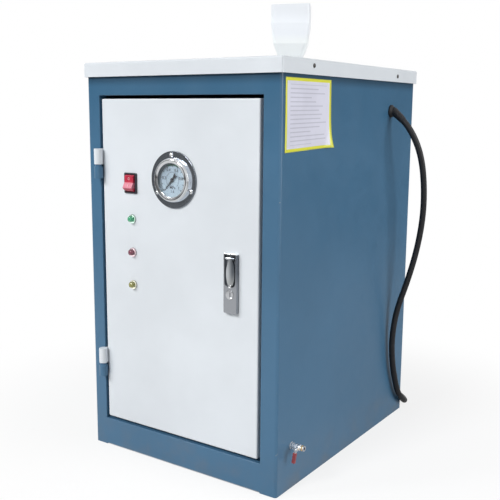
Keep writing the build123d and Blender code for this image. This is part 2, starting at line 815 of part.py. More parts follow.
def drain_nipple():
    """The drain's pipe through the right panel, with a washer and a nut outside."""
    nut_top = drain_washer + drain_nut
    end = nut_top + drain_neck
    pipe = Pos(0, 0, -drain_elbow_radius) * Cylinder(
        drain_pipe_radius, end + drain_elbow_radius, align=(Align.CENTER, Align.CENTER, Align.MIN)
    )
    washer = Cylinder(drain_washer_radius, drain_washer, align=(Align.CENTER, Align.CENTER, Align.MIN))
    return on_right_side(drain_y, drain_z) * (pipe + washer + hexagon(drain_nut_flats, drain_washer, nut_top))


def drain_valve_start():
    """Distance from the panel to the valve body's inlet."""
    return drain_washer + drain_nut + drain_neck


def drain_stem_out():
    """Distance from the panel to the valve stem's axis."""
    return drain_valve_start() + drain_hex + drain_ball_length / 2


def drain_valve_body():
    """The small ball valve: a hexagonal inlet, a round belly, the stem's boss and a threaded outlet."""
    start = drain_valve_start()
    belly = start + drain_hex
    neck = belly + drain_ball_length
    end = neck + drain_outlet_length
    round_outline = [
        Line((0, belly), (drain_outlet_radius, belly)),
        ThreePointArc(
            (drain_outlet_radius, belly),
            (drain_ball_radius, (belly + neck) / 2),
            (drain_outlet_radius, neck),
        ),
        Line((drain_outlet_radius, neck), (drain_outlet_radius, end)),
        Line((drain_outlet_radius, end), (0, end)),
        Line((0, end), (0, belly)),
    ]
    body = revolve(Plane.XZ * make_face(round_outline), Axis.Z)
    boss = Pos(0, 0, drain_stem_out()) * Rot(0, -90, 0) * Cylinder(
        drain_boss_radius, drain_boss_out, align=(Align.CENTER, Align.CENTER, Align.MIN)
    )
    stem_hole = Pos(-drain_boss_out, 0, drain_stem_out()) * Rot(0, -90, 0) * Cylinder(
        drain_stem_radius + running_fit, 2 * (drain_stem_depth + running_fit)
    )
    bore = Pos(0, 0, end) * Cylinder(drain_bore_radius, 2 * drain_bore_depth)
    valve = hexagon(drain_hex_flats, start, belly) + body + boss - stem_hole - bore
    return on_right_side(drain_y, drain_z) * valve


def drain_lever_plane():
    """Plane on the end of the stem's boss, Z towards the front, with the lever's lean to the panel."""
    x = half_width + drain_stem_out()
    upright = Plane((x, drain_y - drain_boss_out, drain_z), x_dir=(1, 0, 0), z_dir=(0, -1, 0))
    return upright * Rot(0, 0, -drain_lever_lean_degrees)


def drain_lever():
    """The valve's lever: a stem, a hub and a flat strap hanging down."""
    strap_centre = -drain_lever_reach / 2
    strap = Pos(0, strap_centre) * Rectangle(drain_lever_width, drain_lever_reach)
    plate = Pos(0, 0, drain_lever_gap) * extrude(Circle(drain_lever_hub) + strap, drain_lever_thickness)
    stem = Pos(0, 0, -drain_stem_depth) * Cylinder(
        drain_stem_radius,
        drain_stem_depth + drain_lever_gap + 2 * drain_lever_thickness,
        align=(Align.CENTER, Align.CENTER, Align.MIN),
    )
    return drain_lever_plane() * (plate + stem)


def drain_grip():
    """The soft sleeve pushed over the lever's strap."""
    length = drain_lever_reach + drain_grip_over - drain_grip_start
    thickness = drain_lever_thickness + 2 * drain_grip_wall
    sleeve = Box(drain_grip_width, length, thickness)
    sleeve = fillet(sleeve.edges().filter_by(Axis.Z), drain_grip_wall)
    sleeve = Pos(0, -drain_grip_start - length / 2, drain_lever_gap + drain_lever_thickness / 2) * sleeve
    strap = Pos(0, -drain_lever_reach / 2, drain_lever_gap + drain_lever_thickness / 2) * Box(
        drain_lever_width, drain_lever_reach, drain_lever_thickness
    )
    return drain_lever_plane() * (sleeve - strap)


def boiler_form(shrink):
    """The boiler's outside, or its inside when shrunk by the wall: a drum with dished ends."""
    radius = boiler_radius - shrink
    low = boiler_bottom + shrink
    high = boiler_top - shrink
    shoulder = high - boiler_dish
    heel = low + boiler_dish
    bow, rise = cap_middle(radius, boiler_dish)
    outline = [
        Line((0, low), (0, high)),
        ThreePointArc((0, high), (bow, shoulder + rise), (radius, shoulder)),
        Line((radius, shoulder), (radius, heel)),
        ThreePointArc((radius, heel), (bow, heel - rise), (0, low)),
    ]
    drum = revolve(Plane.XZ * make_face(outline), Axis.Z)
    return Pos(0, boiler_y, 0) * drum


def heater_plane():
    """Plane on the front of the boiler where the heater enters: Z towards the door."""
    return Plane((0, boiler_y - boiler_radius, heater_up), x_dir=(1, 0, 0), z_dir=(0, -1, 0))


def boiler_shell():
    """The hollow boiler drum, with the neck that takes the heater."""
    neck = heater_plane() * Pos(0, 0, -boiler_wall) * Cylinder(
        heater_neck_radius, heater_neck_length + boiler_wall, align=(Align.CENTER, Align.CENTER, Align.MIN)
    )
    outside = boiler_form(0)
    return outside - boiler_form(boiler_wall) + (neck - outside)


def boiler_stand():
    """The skirt under the boiler, cut away in arches."""
    height = boiler_bottom + boiler_dish
    skirt = Cylinder(stand_radius, height, align=(Align.CENTER, Align.CENTER, Align.MIN))
    skirt = skirt - Cylinder(stand_radius - stand_wall, height, align=(Align.CENTER, Align.CENTER, Align.MIN))
    arch = Box(stand_arch_width, 3 * stand_radius, 2 * stand_arch_height)
    skirt = skirt - arch - Rot(0, 0, 90) * arch
    return Pos(0, boiler_y, sheet) * skirt - boiler_form(0)


def heater_flange():
    """The heater's bolted flange and its terminal cover."""
    disc = Cylinder(heater_flange_radius, heater_flange_thickness, align=(Align.CENTER, Align.CENTER, Align.MIN))
    cover = Pos(0, 0, heater_flange_thickness) * Cylinder(
        heater_cap_radius, heater_cap, align=(Align.CENTER, Align.CENTER, Align.MIN)
    )
    rim = cover.edges().filter_by(GeomType.CIRCLE).group_by(Axis.Z)[-1]
    return heater_plane() * Pos(0, 0, heater_neck_length) * (disc + fillet(rim, heater_edge))


def pipe_along(points, bend, radius):
    """A round pipe along straight runs with bends."""
    path = FilletPolyline(*points, radius=bend)
    start = Plane(origin=path @ 0, z_dir=path % 0)
    return sweep(start * Circle(radius), path=path)


def filler_pipe():
    """The pipe from the funnel's neck down to the boiler's top."""
    top = overall_height - funnel_neck_drop
    pipe = pipe_straight(funnel_x, funnel_y, boiler_top - boiler_dish, top)
    return pipe - boiler_form(0)


def pipe_straight(x, y, low, high):
    """An upright round pipe."""
    return Pos(x, y, low) * Cylinder(pipe_radius, high - low, align=(Align.CENTER, Align.CENTER, Align.MIN))


def steam_pipe():
    """The steam pipe from the boiler's top, bent back to the outlet on the back panel."""
    bottom = (steam_x, steam_y, boiler_top - boiler_dish)
    corner = (steam_x, steam_y, steam_z)
    end = (steam_x, half_depth - 2 * sheet - steam_nut, steam_z)
    return pipe_along([bottom, corner, end], steam_elbow_radius, pipe_radius) - boiler_form(0)


def steam_outlet():
    """The steam outlet: a threaded nipple through the back panel, with a nut on each side."""
    inside = 2 * sheet
    nipple = Pos(0, 0, -inside - steam_nut) * Cylinder(
        steam_outlet_radius,
        inside + steam_nut + steam_nut + steam_outlet_length,
        align=(Align.CENTER, Align.CENTER, Align.MIN),
    )
    nuts = hexagon(steam_nut_flats, -sheet, steam_nut) + hexagon(steam_nut_flats, -inside - steam_nut, -inside)
    bore = Pos(0, 0, steam_nut + steam_outlet_length) * Cylinder(steam_bore_radius, 2 * steam_bore_depth)
    place = Plane((steam_x, half_depth, steam_z), x_dir=(-1, 0, 0), z_dir=(0, 1, 0))
    return place * (nipple + nuts - bore)


def drain_pipe():
    """The pipe from the boiler's side to the drain's nipple."""
    start = (half_width - drain_elbow_radius, drain_y, drain_z)
    corner = (drain_elbow_x, drain_y, drain_z)
    end = (drain_elbow_x, boiler_y, drain_z)
    turn = (drain_elbow_x - drain_elbow_radius - 4 * boiler_wall, boiler_y, drain_z)
    route = [start, corner, end, turn]
    return pipe_along(route, drain_elbow_radius, drain_pipe_radius) - boiler_form(0)


def cable_grommet():
    """The rubber grommet in the right panel: a collar inside, a flange and a tapered nose."""
    sleeve = grommet_nose_radius
    body = turned([
        (0, -sheet - grommet_inside),
        (grommet_radius, -sheet - grommet_inside),
        (grommet_radius, -sheet),
        (sleeve, -sheet),
        (sleeve, 0),
        (grommet_radius, 0),
        (grommet_radius, grommet_flange),
        (sleeve, grommet_proud),
        (0, grommet_proud),
    ])
    return on_right_side(cable_exit_y, cable_exit_z) * body


def route_radii(points):
    """The largest bend at each corner of a route: 0.45 of the shorter run over the tangent of half the turn."""
    run_share = 0.45
    radii = []
    for before, here, after in zip(points, points[1:], points[2:]):
        first = Vector(*here) - Vector(*before)
        second = Vector(*after) - Vector(*here)
        half_turn = math.radians(first.get_angle(second)) / 2
        radii.append(run_share * min(first.length, second.length) / math.tan(half_turn))
    return radii


def cable_tube(points):
    """A round cable along a route, with each corner rounded as far as its runs allow."""
    radii = route_radii(points)
    print("cable bend radii", [round(radius) for radius in radii])
    path = FilletPolyline(*points, radius=radii)
    start = Plane(origin=path @ 0, z_dir=path % 0)
    return sweep(start * Circle(cable_radius), path=path)


def cable_coil():
    """The outer form of the cable's neat coil on the floor."""
    ring = Cylinder(coil_outer_radius, coil_height, align=(Align.CENTER, Align.CENTER, Align.MIN))
    hole = Cylinder(coil_inner_radius, coil_height, align=(Align.CENTER, Align.CENTER, Align.MIN))
    return Pos(coil_x, coil_y, 0) * (ring - hole)


def cable_plug():
    """The plug: a tapered nose on the cable, a grip, a round head and two pins."""
    grip_end = plug_nose_length + plug_grip_length
    head_end = grip_end + plug_head_length
    body = turned([
        (0, 0),
        (cable_radius, 0),
        (plug_nose_radius, plug_nose_length),
        (plug_grip_radius, grip_end),
        (plug_head_radius, grip_end),
        (plug_head_radius, head_end),
        (0, head_end),
    ])
    rims = body.edges().filter_by(GeomType.CIRCLE).filter_by(lambda edge: edge.radius == plug_head_radius)
    plug = fillet(rims, plug_edge)
    for side in (-1, 1):
        pin = Cylinder(plug_pin_radius, plug_pin_length, align=(Align.CENTER, Align.CENTER, Align.MIN))
        plug = plug + Pos(side * plug_pin_spacing / 2, 0, head_end) * pin
    heading = Vector(*tail_route[-1]) - Vector(*tail_route[-2])
    across = Vector(0, 0, 1).cross(heading)
    return Plane(tail_route[-1], x_dir=across, z_dir=heading) * plug


def build():
    """All the nodes of the steam generator, by name."""
    nodes = {}
    nodes.update(split_front(front_frame()))
    nodes["left_side_panel"] = side_panel(-1)
    nodes["right_side_panel"] = side_panel(1)
    nodes["back_panel"] = back_panel()
    nodes["base_pan"] = base_pan()
    nodes["lid"] = lid()
    nodes["filler_funnel"] = filler_funnel()
    nodes["door_panel"] = door_panel()
    for place, base in hinge_heights.items():
        nodes[place + "_hinge_frame_barrel"] = frame_hinge(base)
        nodes[place + "_hinge_pin"] = hinge_pin(base)
        nodes[place + "_hinge_door_barrel"] = door_hinge(base)
    nodes["gauge_case"] = gauge_case()
    nodes["gauge_bezel"] = gauge_bezel()
    nodes["gauge_dial"] = gauge_dial()
    nodes["gauge_glass"] = gauge_glass()
    nodes["gauge_needle"] = gauge_needle()
    nodes["switch_housing"] = switch_housing()
    nodes["switch_rocker"] = switch_rocker()
    for colour, height in lamp_heights.items():
        nodes[colour + "_lamp_bezel"] = lamp_bezel(height)
        nodes[colour + "_lamp_lens"] = lamp_lens(height)
    nodes["lock_plate"] = lock_plate()
    nodes["lock_handle"] = lock_handle()
    nodes["lock_cylinder"] = lock_cylinder()
    nodes["lock_case"] = lock_case()
    nodes["latch_tongue"] = latch_tongue()
    nodes["drain_nipple"] = drain_nipple()
    nodes["drain_valve_body"] = drain_valve_body()
    nodes["drain_lever"] = drain_lever()
    nodes["drain_grip"] = drain_grip()
    nodes["boiler_shell"] = boiler_shell()
    nodes["boiler_stand"] = boiler_stand()
    nodes["heater_flange"] = heater_flange()
    nodes["filler_pipe"] = filler_pipe()
    nodes["steam_pipe"] = steam_pipe()
    nodes["steam_outlet"] = steam_outlet()
    nodes["drain_pipe"] = drain_pipe()
    nodes["cable_grommet"] = cable_grommet()
    nodes["cable_run"] = cable_tube(cable_route)
    nodes["cable_coil"] = cable_coil()
    nodes["cable_tail"] = cable_tube(tail_route)
    nodes["cable_plug"] = cable_plug()
    return nodes


os.makedirs("parts", exist_ok=True)
for name, shape in build().items():
    export_step(shape, os.path.join("parts", name + ".step"))
    print(name, round(shape.volume))
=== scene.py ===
"""Electric steam generator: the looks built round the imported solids, laid out as a Blender add-on.

Metres, in the solids' own frame: X to the right, Y to the back, Z up, origin in the middle of the base on the floor.
"""
import math

import bmesh
import bpy
import numpy as np
from mathutils import Matrix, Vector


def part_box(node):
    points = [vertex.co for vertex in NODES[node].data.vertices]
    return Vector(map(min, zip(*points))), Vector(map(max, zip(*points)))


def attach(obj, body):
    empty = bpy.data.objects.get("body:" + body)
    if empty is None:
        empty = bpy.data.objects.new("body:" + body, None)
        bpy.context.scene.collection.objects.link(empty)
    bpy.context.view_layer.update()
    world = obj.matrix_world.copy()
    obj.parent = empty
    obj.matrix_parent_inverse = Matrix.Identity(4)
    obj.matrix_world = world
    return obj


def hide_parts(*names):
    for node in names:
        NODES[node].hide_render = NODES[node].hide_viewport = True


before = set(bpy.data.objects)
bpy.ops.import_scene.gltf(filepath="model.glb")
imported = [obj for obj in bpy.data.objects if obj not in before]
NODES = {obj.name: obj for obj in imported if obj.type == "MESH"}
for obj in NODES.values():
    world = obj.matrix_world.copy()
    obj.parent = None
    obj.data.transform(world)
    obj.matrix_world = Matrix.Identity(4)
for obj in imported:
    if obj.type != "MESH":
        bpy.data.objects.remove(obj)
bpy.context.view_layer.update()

bl_info = {
    "name": "Steam Generator Looks",
    "version": (1, 0, 0),
    "blender": (4, 5, 0),
    "location": "View3D > Sidebar > Steam Generator",
    "description": "Paints, prints, fasteners, cable and stage of an electric steam generator",
    "category": "Object",
}

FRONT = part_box("door_panel")[0].y
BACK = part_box("left_side_panel")[1].y
HALF_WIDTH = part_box("right_side_panel")[1].x
LID_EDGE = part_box("lid")[0].z
LID_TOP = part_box("lid")[1].z
LAMPS = ("green", "red", "yellow")
# The level way in which the right side mirrors the camera's view; the front mirrors it the opposite way
MIRRORED_VIEW = (0.56, 0.83, 0.0)

# The cable's route from the grommet to the coil behind the cabinet, and from the coil to the plug
RUN_POINTS = np.array([
    (0.1770, 0.1218, 0.5330), (0.1955, 0.1217, 0.5192), (0.2141, 0.1239, 0.4934), (0.2231, 0.1360, 0.4594),
    (0.2250, 0.1480, 0.4150), (0.2228, 0.1558, 0.3625), (0.2150, 0.1555, 0.3060), (0.2022, 0.1502, 0.2493),
    (0.1873, 0.1428, 0.1979), (0.1819, 0.1408, 0.1472), (0.1813, 0.1484, 0.1030), (0.1811, 0.1637, 0.0667),
    (0.1810, 0.1790, 0.0395), (0.1820, 0.2005, 0.0205), (0.1770, 0.2240, 0.0100), (0.1630, 0.2470, 0.0060),
    (0.1420, 0.2675, 0.0050), (0.1150, 0.2735, 0.0050), (0.0870, 0.2665, 0.0052),
])
TAIL_POINTS = np.array([
    (0.0170, 0.2503, 0.0120), (-0.0120, 0.2500, 0.0090), (-0.0400, 0.2530, 0.0120),
    (-0.0660, 0.2590, 0.0185), (-0.0900, 0.2665, 0.0185),
])


def colour_property(name, description, default):
    """A colour that the sidebar shows."""
    return bpy.props.FloatVectorProperty(
        name=name, description=description, default=default, subtype="COLOR", size=3, min=0.0, max=1.0
    )


def length_property(name, description, default):
    """A length in metres that the sidebar shows."""
    return bpy.props.FloatProperty(
        name=name, description=description, default=default, unit="LENGTH", min=0.0001, precision=4
    )


def power_property(name, description, default):
    """A lamp's power in watts that the sidebar shows."""
    return bpy.props.FloatProperty(name=name, description=description, default=default, unit="POWER", min=0.0)


class PaintColours(bpy.types.PropertyGroup):
    """Colours of the paints, plastics and prints."""

    cabinet_blue: colour_property("Cabinet paint", "Powder coat of the cabinet", (0.051, 0.152, 0.268))
    door_white: colour_property("Door paint", "Powder coat of the door and the lid", (0.735, 0.775, 0.815))
    rocker_red: colour_property("Rocker", "Plastic of the switch's rocker", (0.52, 0.030, 0.065))
    lamp_green: colour_property("Green lamp", "Lens of the upper lamp", (0.085, 0.58, 0.29))
    lamp_red: colour_property("Red lamp", "Lens of the middle lamp", (0.31, 0.065, 0.115))
    lamp_yellow: colour_property("Yellow lamp", "Lens of the lower lamp", (0.46, 0.45, 0.12))
    funnel_white: colour_property("Funnel", "Plastic of the water funnel", (0.895, 0.925, 0.965))
    grip_red: colour_property("Drain grip", "Sleeve on the drain's lever", (0.30, 0.055, 0.06))
    cable_black: colour_property("Cable", "Sheath of the power cable", (0.007, 0.007, 0.009))
    card_border: colour_property("Card border", "Border of the blank card on the side", (0.76, 0.76, 0.045))
    card_paper: colour_property("Card paper", "Paper of the blank card on the side", (0.74, 0.74, 0.85))


class DetailSizes(bpy.types.PropertyGroup):
    """Sizes of the details that the solids leave out."""

    cable_diameter: length_property("Cable diameter", "Diameter of the cable's sheath", 0.010)
    coil_outer: length_property("Coil's outer ring", "Radius of the coil's outer turns", 0.060)
    coil_inner: length_property("Coil's inner ring", "Radius of the coil's inner turns", 0.050)
    dial_number: length_property("Dial numbers", "Height of the numbers on the dial", 0.0060)
    lid_screw: length_property("Lid screws", "Radius of the screws in the lid's skirt", 0.0030)
    panel_screw: length_property("Panel screws", "Radius of the screws in the back panel", 0.0036)
    card_width: length_property("Card width", "Width of the blank card on the side", 0.119)
    card_height: length_property("Card height", "Height of the blank card on the side", 0.097)


class StageSettings(bpy.types.PropertyGroup):
    """Light of the stage."""

    sky: bpy.props.FloatProperty(
        name="Sky", description="Strength of the light from all round", default=0.27, min=0.0, max=2.0
    )
    key: power_property("Key lamp", "Power of the large lamp in front", 210.0)
    left: power_property("Left lamp", "Power of the small lamp on the left", 40.0)
    side: power_property("Side lamp", "Power of the lamp on the right", 68.0)


def colours():
    """The colours in the sidebar."""
    return bpy.context.scene.steam_paints


def sizes():
    """The sizes in the sidebar."""
    return bpy.context.scene.steam_details


def tint(colour, share):
    """A colour made darker or lighter by a share, kept below full white."""
    return tuple(min(0.98, channel * share) for channel in colour)


class Nodes:
    """A node tree, with short calls that add nodes to it."""

    def __init__(self, tree):
        self.tree = tree

    def join(self, value, socket):
        """Links a node's output to a socket, or sets the socket's own value."""
        if isinstance(value, bpy.types.NodeSocket):
            self.tree.links.new(value, socket)
        elif socket.type == "RGBA":
            socket.default_value = (*value[:3], 1.0)
        else:
            socket.default_value = value

    def add(self, kind, inputs=None, **settings):
        """A new node with its settings and inputs."""
        node = self.tree.nodes.new("ShaderNode" + kind)
        for name, value in settings.items():
            setattr(node, name, value)
        for key, value in (inputs or {}).items():
            self.join(value, node.inputs[key])
        return node

    def band(self, value, low, high, first=0.0, last=1.0):
        """A value eased from first to last while it goes from low to high."""
        inputs = {0: value, 1: low, 2: high, 3: first, 4: last}
        return self.add("MapRange", inputs, interpolation_type="SMOOTHSTEP").outputs[0]

    def math(self, operation, first, second=0.0):
        """One sum of two values."""
        return self.add("Math", {0: first, 1: second}, operation=operation).outputs[0]

    def times(self, first, second):
        """One value times another."""
        return self.math("MULTIPLY", first, second)

    def without(self, value):
        """One less a value."""
        return self.math("SUBTRACT", 1.0, value)

    def most(self, first, second):
        """The larger of two values."""
        return self.math("MAXIMUM", first, second)

    def along(self, place, way):
        """How far a place lies along a way."""
        return self.add("VectorMath", {0: place, 1: way}, operation="DOT_PRODUCT").outputs["Value"]


class Finish(Nodes):
    """One material, with short calls for its principled shader."""

    def __init__(self, name, sockets):
        self.material = bpy.data.materials.new(name)
        self.material.use_nodes = True
        super().__init__(self.material.node_tree)
        self.shader = self.tree.nodes["Principled BSDF"]
        self.set(sockets)
        self.place = self.add("TexCoord").outputs["Object"]

    def set(self, sockets):
        """Sets or links sockets of the shader."""
        for name, value in sockets.items():
            self.join(value, self.shader.inputs[name])

    def moved(self, centre=(0.0, 0.0, 0.0), stretch=(1.0, 1.0, 1.0)):
        """Object coordinates measured from a centre and stretched."""
        shifted = self.add("VectorMath", {0: self.place, 1: centre}, operation="SUBTRACT").outputs[0]
        return self.add("VectorMath", {0: shifted, 1: stretch}, operation="MULTIPLY").outputs[0]

    def axes(self, centre=None):
        """The three object coordinates as values, from a centre where one is given."""
        return self.add("SeparateXYZ", {0: self.moved(centre) if centre else self.place}).outputs

    def out_from(self, centre):
        """Distance from a centre, as seen from the front."""
        flat = self.moved(centre, (1.0, 0.0, 1.0))
        return self.add("VectorMath", {0: flat}, operation="LENGTH").outputs["Value"]

    def noise(self, scale, detail=3.0, stretch=(1.0, 1.0, 1.0), roughness=0.55):
        """Cloudy noise from 0 to 1, in cycles per metre."""
        vector = self.moved(stretch=stretch)
        inputs = {"Vector": vector, "Scale": scale, "Detail": detail, "Roughness": roughness}
        return self.add("TexNoise", inputs).outputs[0]

    def cloud(self, scale, detail, low=0.3, high=0.7, first=0.0, last=1.0):
        """Cloudy noise eased from first to last."""
        return self.band(self.noise(scale, detail), low, high, first, last)

    def blend(self, share, first, second):
        """A colour between two others."""
        return self.add("Mix", {0: share, 6: first, 7: second}, data_type="RGBA").outputs[2]

    def bump(self, height, depth, strength):
        """Relief of a depth in metres."""
        inputs = {"Height": height, "Distance": depth, "Strength": strength}
        self.set({"Normal": self.add("Bump", inputs).outputs[0]})

    def grain(self, scale, detail, depth, strength):
        """Relief of cloudy noise."""
        self.bump(self.noise(scale, detail), depth, strength)


def node_middle(node):
    """The middle of a solid's box."""
    low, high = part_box(node)
    return (low + high) / 2


def round_node(node):
    """The middle and the radius of a round solid that faces the front."""
    low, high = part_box(node)
    return tuple((low + high) / 2), (high.z - low.z) / 2


def powder_coat(name, colour, bare, dirt, half_x, half_y, chips, painted_sheen, painted_lid_shade):
    """Satin paint: orange peel, clouds, chips at the corners and the foot, and dust low down.

    Painted light over it: a greyish sheen lower down, shade that deepens towards the lid, a shadow under the lid's
    edge, and shade on the top face.
    """
    coat = Finish(name, {})
    tone = coat.cloud(4.5, 4.0, 0.32, 0.68)
    body = coat.blend(tone, tint(colour, 0.95), tint(colour, 1.04))
    x, y, z = coat.axes()
    from_side = coat.math("SUBTRACT", half_x, coat.math("ABSOLUTE", x))
    from_face = coat.math("SUBTRACT", half_y, coat.math("ABSOLUTE", y))
    from_corner = coat.most(from_side, from_face)
    near_corner = coat.band(from_corner, 0.0045, 0.0004)
    near_foot = coat.band(z, 0.0050, 0.0006)
    edge = coat.most(near_corner, near_foot)
    # Painted shadow under the lid's overhanging edge.
    lid_shadow = coat.times(coat.band(z, LID_EDGE - 0.016, LID_EDGE), 0.92)
    spots = coat.cloud(160.0, 5.0, chips, chips + 0.05)
    chip = coat.times(edge, spots)
    streaks = coat.noise(38.0, 6.0, (1.0, 1.0, 0.16), 0.7)
    scuff = coat.times(coat.band(streaks, 0.665, 0.74), 0.06)
    dust = coat.times(coat.band(z, 0.075, 0.0), coat.cloud(22.0, 5.0, 0.38, 0.72, 0.0, 0.35))
    # Painted sheen: the paint turns greyer and lighter lower down. Painted shade: it darkens towards the lid.
    near_lid = coat.band(z, LID_EDGE - 0.13, LID_EDGE - 0.01)
    body = coat.blend(coat.times(coat.without(near_lid), painted_sheen), body, (0.20, 0.22, 0.26))
    body = coat.blend(coat.times(near_lid, painted_lid_shade), body, (0.0, 0.0, 0.0))
    body = coat.blend(scuff, body, tint(colour, 1.45))
    # The painted shadow under the lid's edge darkens the paint here.
    body = coat.blend(coat.times(lid_shadow, coat.math("LESS_THAN", z, LID_EDGE)), body, tint(colour, 0.35))
    # Painted shade on the top face, which faces the light, with less sheen there.
    top_shade = coat.band(z, LID_TOP - 0.0030, LID_TOP - 0.0010)
    body = coat.blend(top_shade, body, tint(colour, 0.92))
    coat.set({"Specular IOR Level": coat.band(top_shade, 0.0, 1.0, 0.45, 0.15)})
    body = coat.blend(dust, body, dirt)
    body = coat.blend(chip, body, bare)
    coat.set({"Base Color": body, "Roughness": coat.cloud(26.0, 4.0, 0.3, 0.7, 0.28, 0.38)})
    peel = coat.math("ADD", coat.noise(420.0, 2.0), coat.times(chip, -1.5))
    coat.bump(peel, 0.00022, 0.35)
    return coat.material


def plated(name, colour, roughness, grain, tarnish, stretch=(1.0, 1.0, 1.0)):
    """Metal with fine lines along one way, cloudy polish and a breath of tarnish."""
    metal = Finish(name, {"Metallic": 1.0})
    cloud = metal.cloud(55.0, 4.0, 0.35, 0.7)
    body = metal.blend(metal.times(cloud, 0.6), colour, tarnish)
    lines = metal.noise(grain, 3.0, stretch, 0.6)
    rough = metal.math("MULTIPLY_ADD", lines, 0.5 * roughness)
    rough.node.inputs[2].default_value = 0.75 * roughness
    metal.set({"Base Color": body, "Roughness": rough})
    metal.bump(lines, 0.00005, 0.25)
    return metal.material


def lock_plating(name, left, right, foot):
    """The lock's plating, with painted light: painted reflection and shade take it from a lighter tone on the left to
    a darker one on the right, a painted reflection makes its foot paler, and a painted highlight runs along its top
    edge.
    """
    metal = Finish(name, {"Metallic": 1.0})
    low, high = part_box("lock_plate")
    x, _, z = metal.axes()
    middle, tall = (low.x + high.x) / 2, high.z - low.z
    # Painted reflection and shade: lighter on the left, darker on the right, paler at the foot, and a highlight along
    # the top edge.
    body = metal.blend(metal.band(x, middle - 0.0055, middle + 0.0045), left, right)
    body = metal.blend(metal.band(z, high.z - 0.28 * tall, high.z - 0.62 * tall), body, foot)
    body = metal.blend(metal.band(z, high.z - 0.0020, high.z - 0.0008), body, (0.92, 0.94, 0.96))
    lines = metal.noise(700.0, 3.0, (1.0, 1.0, 0.04), 0.6)
    metal.set({"Base Color": body, "Roughness": metal.band(lines, 0.2, 0.8, 0.08, 0.13)})
    metal.bump(lines, 0.00005, 0.25)
    return metal.material


def moulded(name, colour, roughness, grain, depth):
    """Moulded plastic: an even colour with faint clouds and a fine spark-eroded skin."""
    skin = Finish(name, {"Specular IOR Level": 0.5})
    body = skin.blend(skin.cloud(70.0, 3.0), tint(colour, 0.92), tint(colour, 1.06))
    rough = skin.cloud(240.0, 3.0, 0.3, 0.7, 0.85 * roughness, 1.15 * roughness)
    skin.set({"Base Color": body, "Roughness": rough})
    skin.grain(grain, 2.0, depth, 0.4)
    return skin.material


def rocker_plastic(name, colour):
    """The rocker's glossy plastic: a paler pink patch below its middle is a painted highlight."""
    skin = Finish(name, {"Specular IOR Level": 0.5})
    _, _, z = skin.axes()
    middle = node_middle("switch_rocker").z
    body = skin.blend(skin.cloud(70.0, 3.0), tint(colour, 0.92), tint(colour, 1.06))
    # Painted highlight on the rocker's lower half.
    highlight_top = skin.band(z, middle + 0.0016, middle)
    highlight_foot = skin.band(z, middle - 0.0088, middle - 0.0062, 0.0, 0.5)
    skin.set({"Base Color": skin.blend(skin.times(highlight_top, highlight_foot), body, (0.80, 0.36, 0.47))})
    skin.set({"Roughness": skin.cloud(240.0, 3.0, 0.3, 0.7, 0.23, 0.31)})
    skin.grain(700.0, 2.0, 0.00002, 0.4)
    return skin.material


def lens(name, colour, node):
    """A lamp's coloured cap: clear plastic over ribs that run out from its middle, painted lighter and darker along
    the ribs as lit and shaded facets, with painted shade on its top and a painted highlight on its lower rim that also
    glows.
    """
    centre, radius = round_node(node)
    cap = Finish(name, {"Roughness": 0.10, "IOR": 1.49, "Transmission Weight": 0.35, "Coat Weight": 0.6})
    x, _, z = cap.axes(centre)
    turn = cap.math("ARCTAN2", z, x)
    ribs = cap.math("SINE", cap.times(turn, 12.0))
    # Painted light and shade: the ribs are drawn as lighter and darker stripes.
    shade = cap.band(ribs, -0.8, 0.9)
    body = cap.blend(shade, tint(colour, 0.8), tint(colour, 1.15))
    # Painted shade on the cap's top.
    body = cap.blend(cap.band(z, 0.35 * radius, 0.95 * radius, 0.0, 0.6), body, tint(colour, 0.4))
    # Painted highlight on the lower rim, which also glows.
    pale = tuple(0.74 + 0.24 * channel / max(colour) for channel in colour)
    painted_glow = cap.band(z, -0.58 * radius, -0.76 * radius)
    cap.set({"Base Color": cap.blend(painted_glow, body, pale), "Emission Color": pale})
    cap.set({"Emission Strength": cap.times(painted_glow, 0.45)})
    cap.bump(ribs, 0.00015, 0.35)
    return cap.material


def lamp_ring(name, colour, node):
    """A lamp's bright ring, tinted by its cap, with painted shade along its outer edge and a painted highlight low
    down that also glows.
    """
    centre, radius = round_node(node)
    ring = Finish(name, {"Metallic": 0.6, "Roughness": 0.16})
    pale = tuple(0.70 + 0.26 * channel / max(colour) for channel in colour)
    # Painted shade along the ring's outer edge.
    edge = ring.times(ring.band(ring.out_from(centre), 0.88 * radius, 0.98 * radius), 0.75)
    cloud = ring.cloud(300.0, 3.0, 0.3, 0.7, 0.0, 0.3)
    body = ring.blend(edge, ring.blend(cloud, pale, tint(pale, 0.8)), (0.16, 0.17, 0.18))
    _, _, z = ring.axes(centre)
    # Painted highlight low on the ring, which also glows.
    painted_glow = ring.times(ring.band(z, -0.50 * radius, -0.72 * radius, 0.0, 0.6), ring.without(edge))
    ring.set({"Base Color": body, "Emission Color": pale, "Emission Strength": painted_glow})
    ring.grain(300.0, 3.0, 0.00005, 0.25)
    return ring.material


def flange_steel(name):
    """The gauge's plated flange: cold grey with faint clouds, with painted shade along its rounded rim."""
    metal = Finish(name, {"Metallic": 1.0})
    centre, radius = round_node("gauge_case")
    lines = metal.noise(260.0, 3.0, roughness=0.6)
    body = metal.blend(metal.band(lines, 0.3, 0.7), (0.74, 0.81, 0.90), (0.66, 0.72, 0.80))
    # Painted shade along the flange's rounded rim.
    body = metal.blend(metal.band(metal.out_from(centre), 0.955 * radius, 0.985 * radius), body, (0.20, 0.22, 0.25))
    metal.set({"Base Color": body, "Roughness": metal.band(lines, 0.2, 0.8, 0.13, 0.20)})
    metal.bump(lines, 0.00005, 0.12)
    return metal.material


def clear_glass(name):
    """The gauge's pane: clear, with a trace of dust, and open to the lamps' light."""
    pane = Finish(name, {"Base Color": (0.96, 0.98, 0.98), "IOR": 1.45, "Transmission Weight": 1.0})
    pane.set({"Roughness": pane.cloud(180.0, 4.0, 0.55, 0.8, 0.0, 0.06)})
    shadow = pane.add("LightPath").outputs["Is Shadow Ray"]
    pane.set({"Alpha": pane.without(pane.times(shadow, 0.92))})
    return pane.material


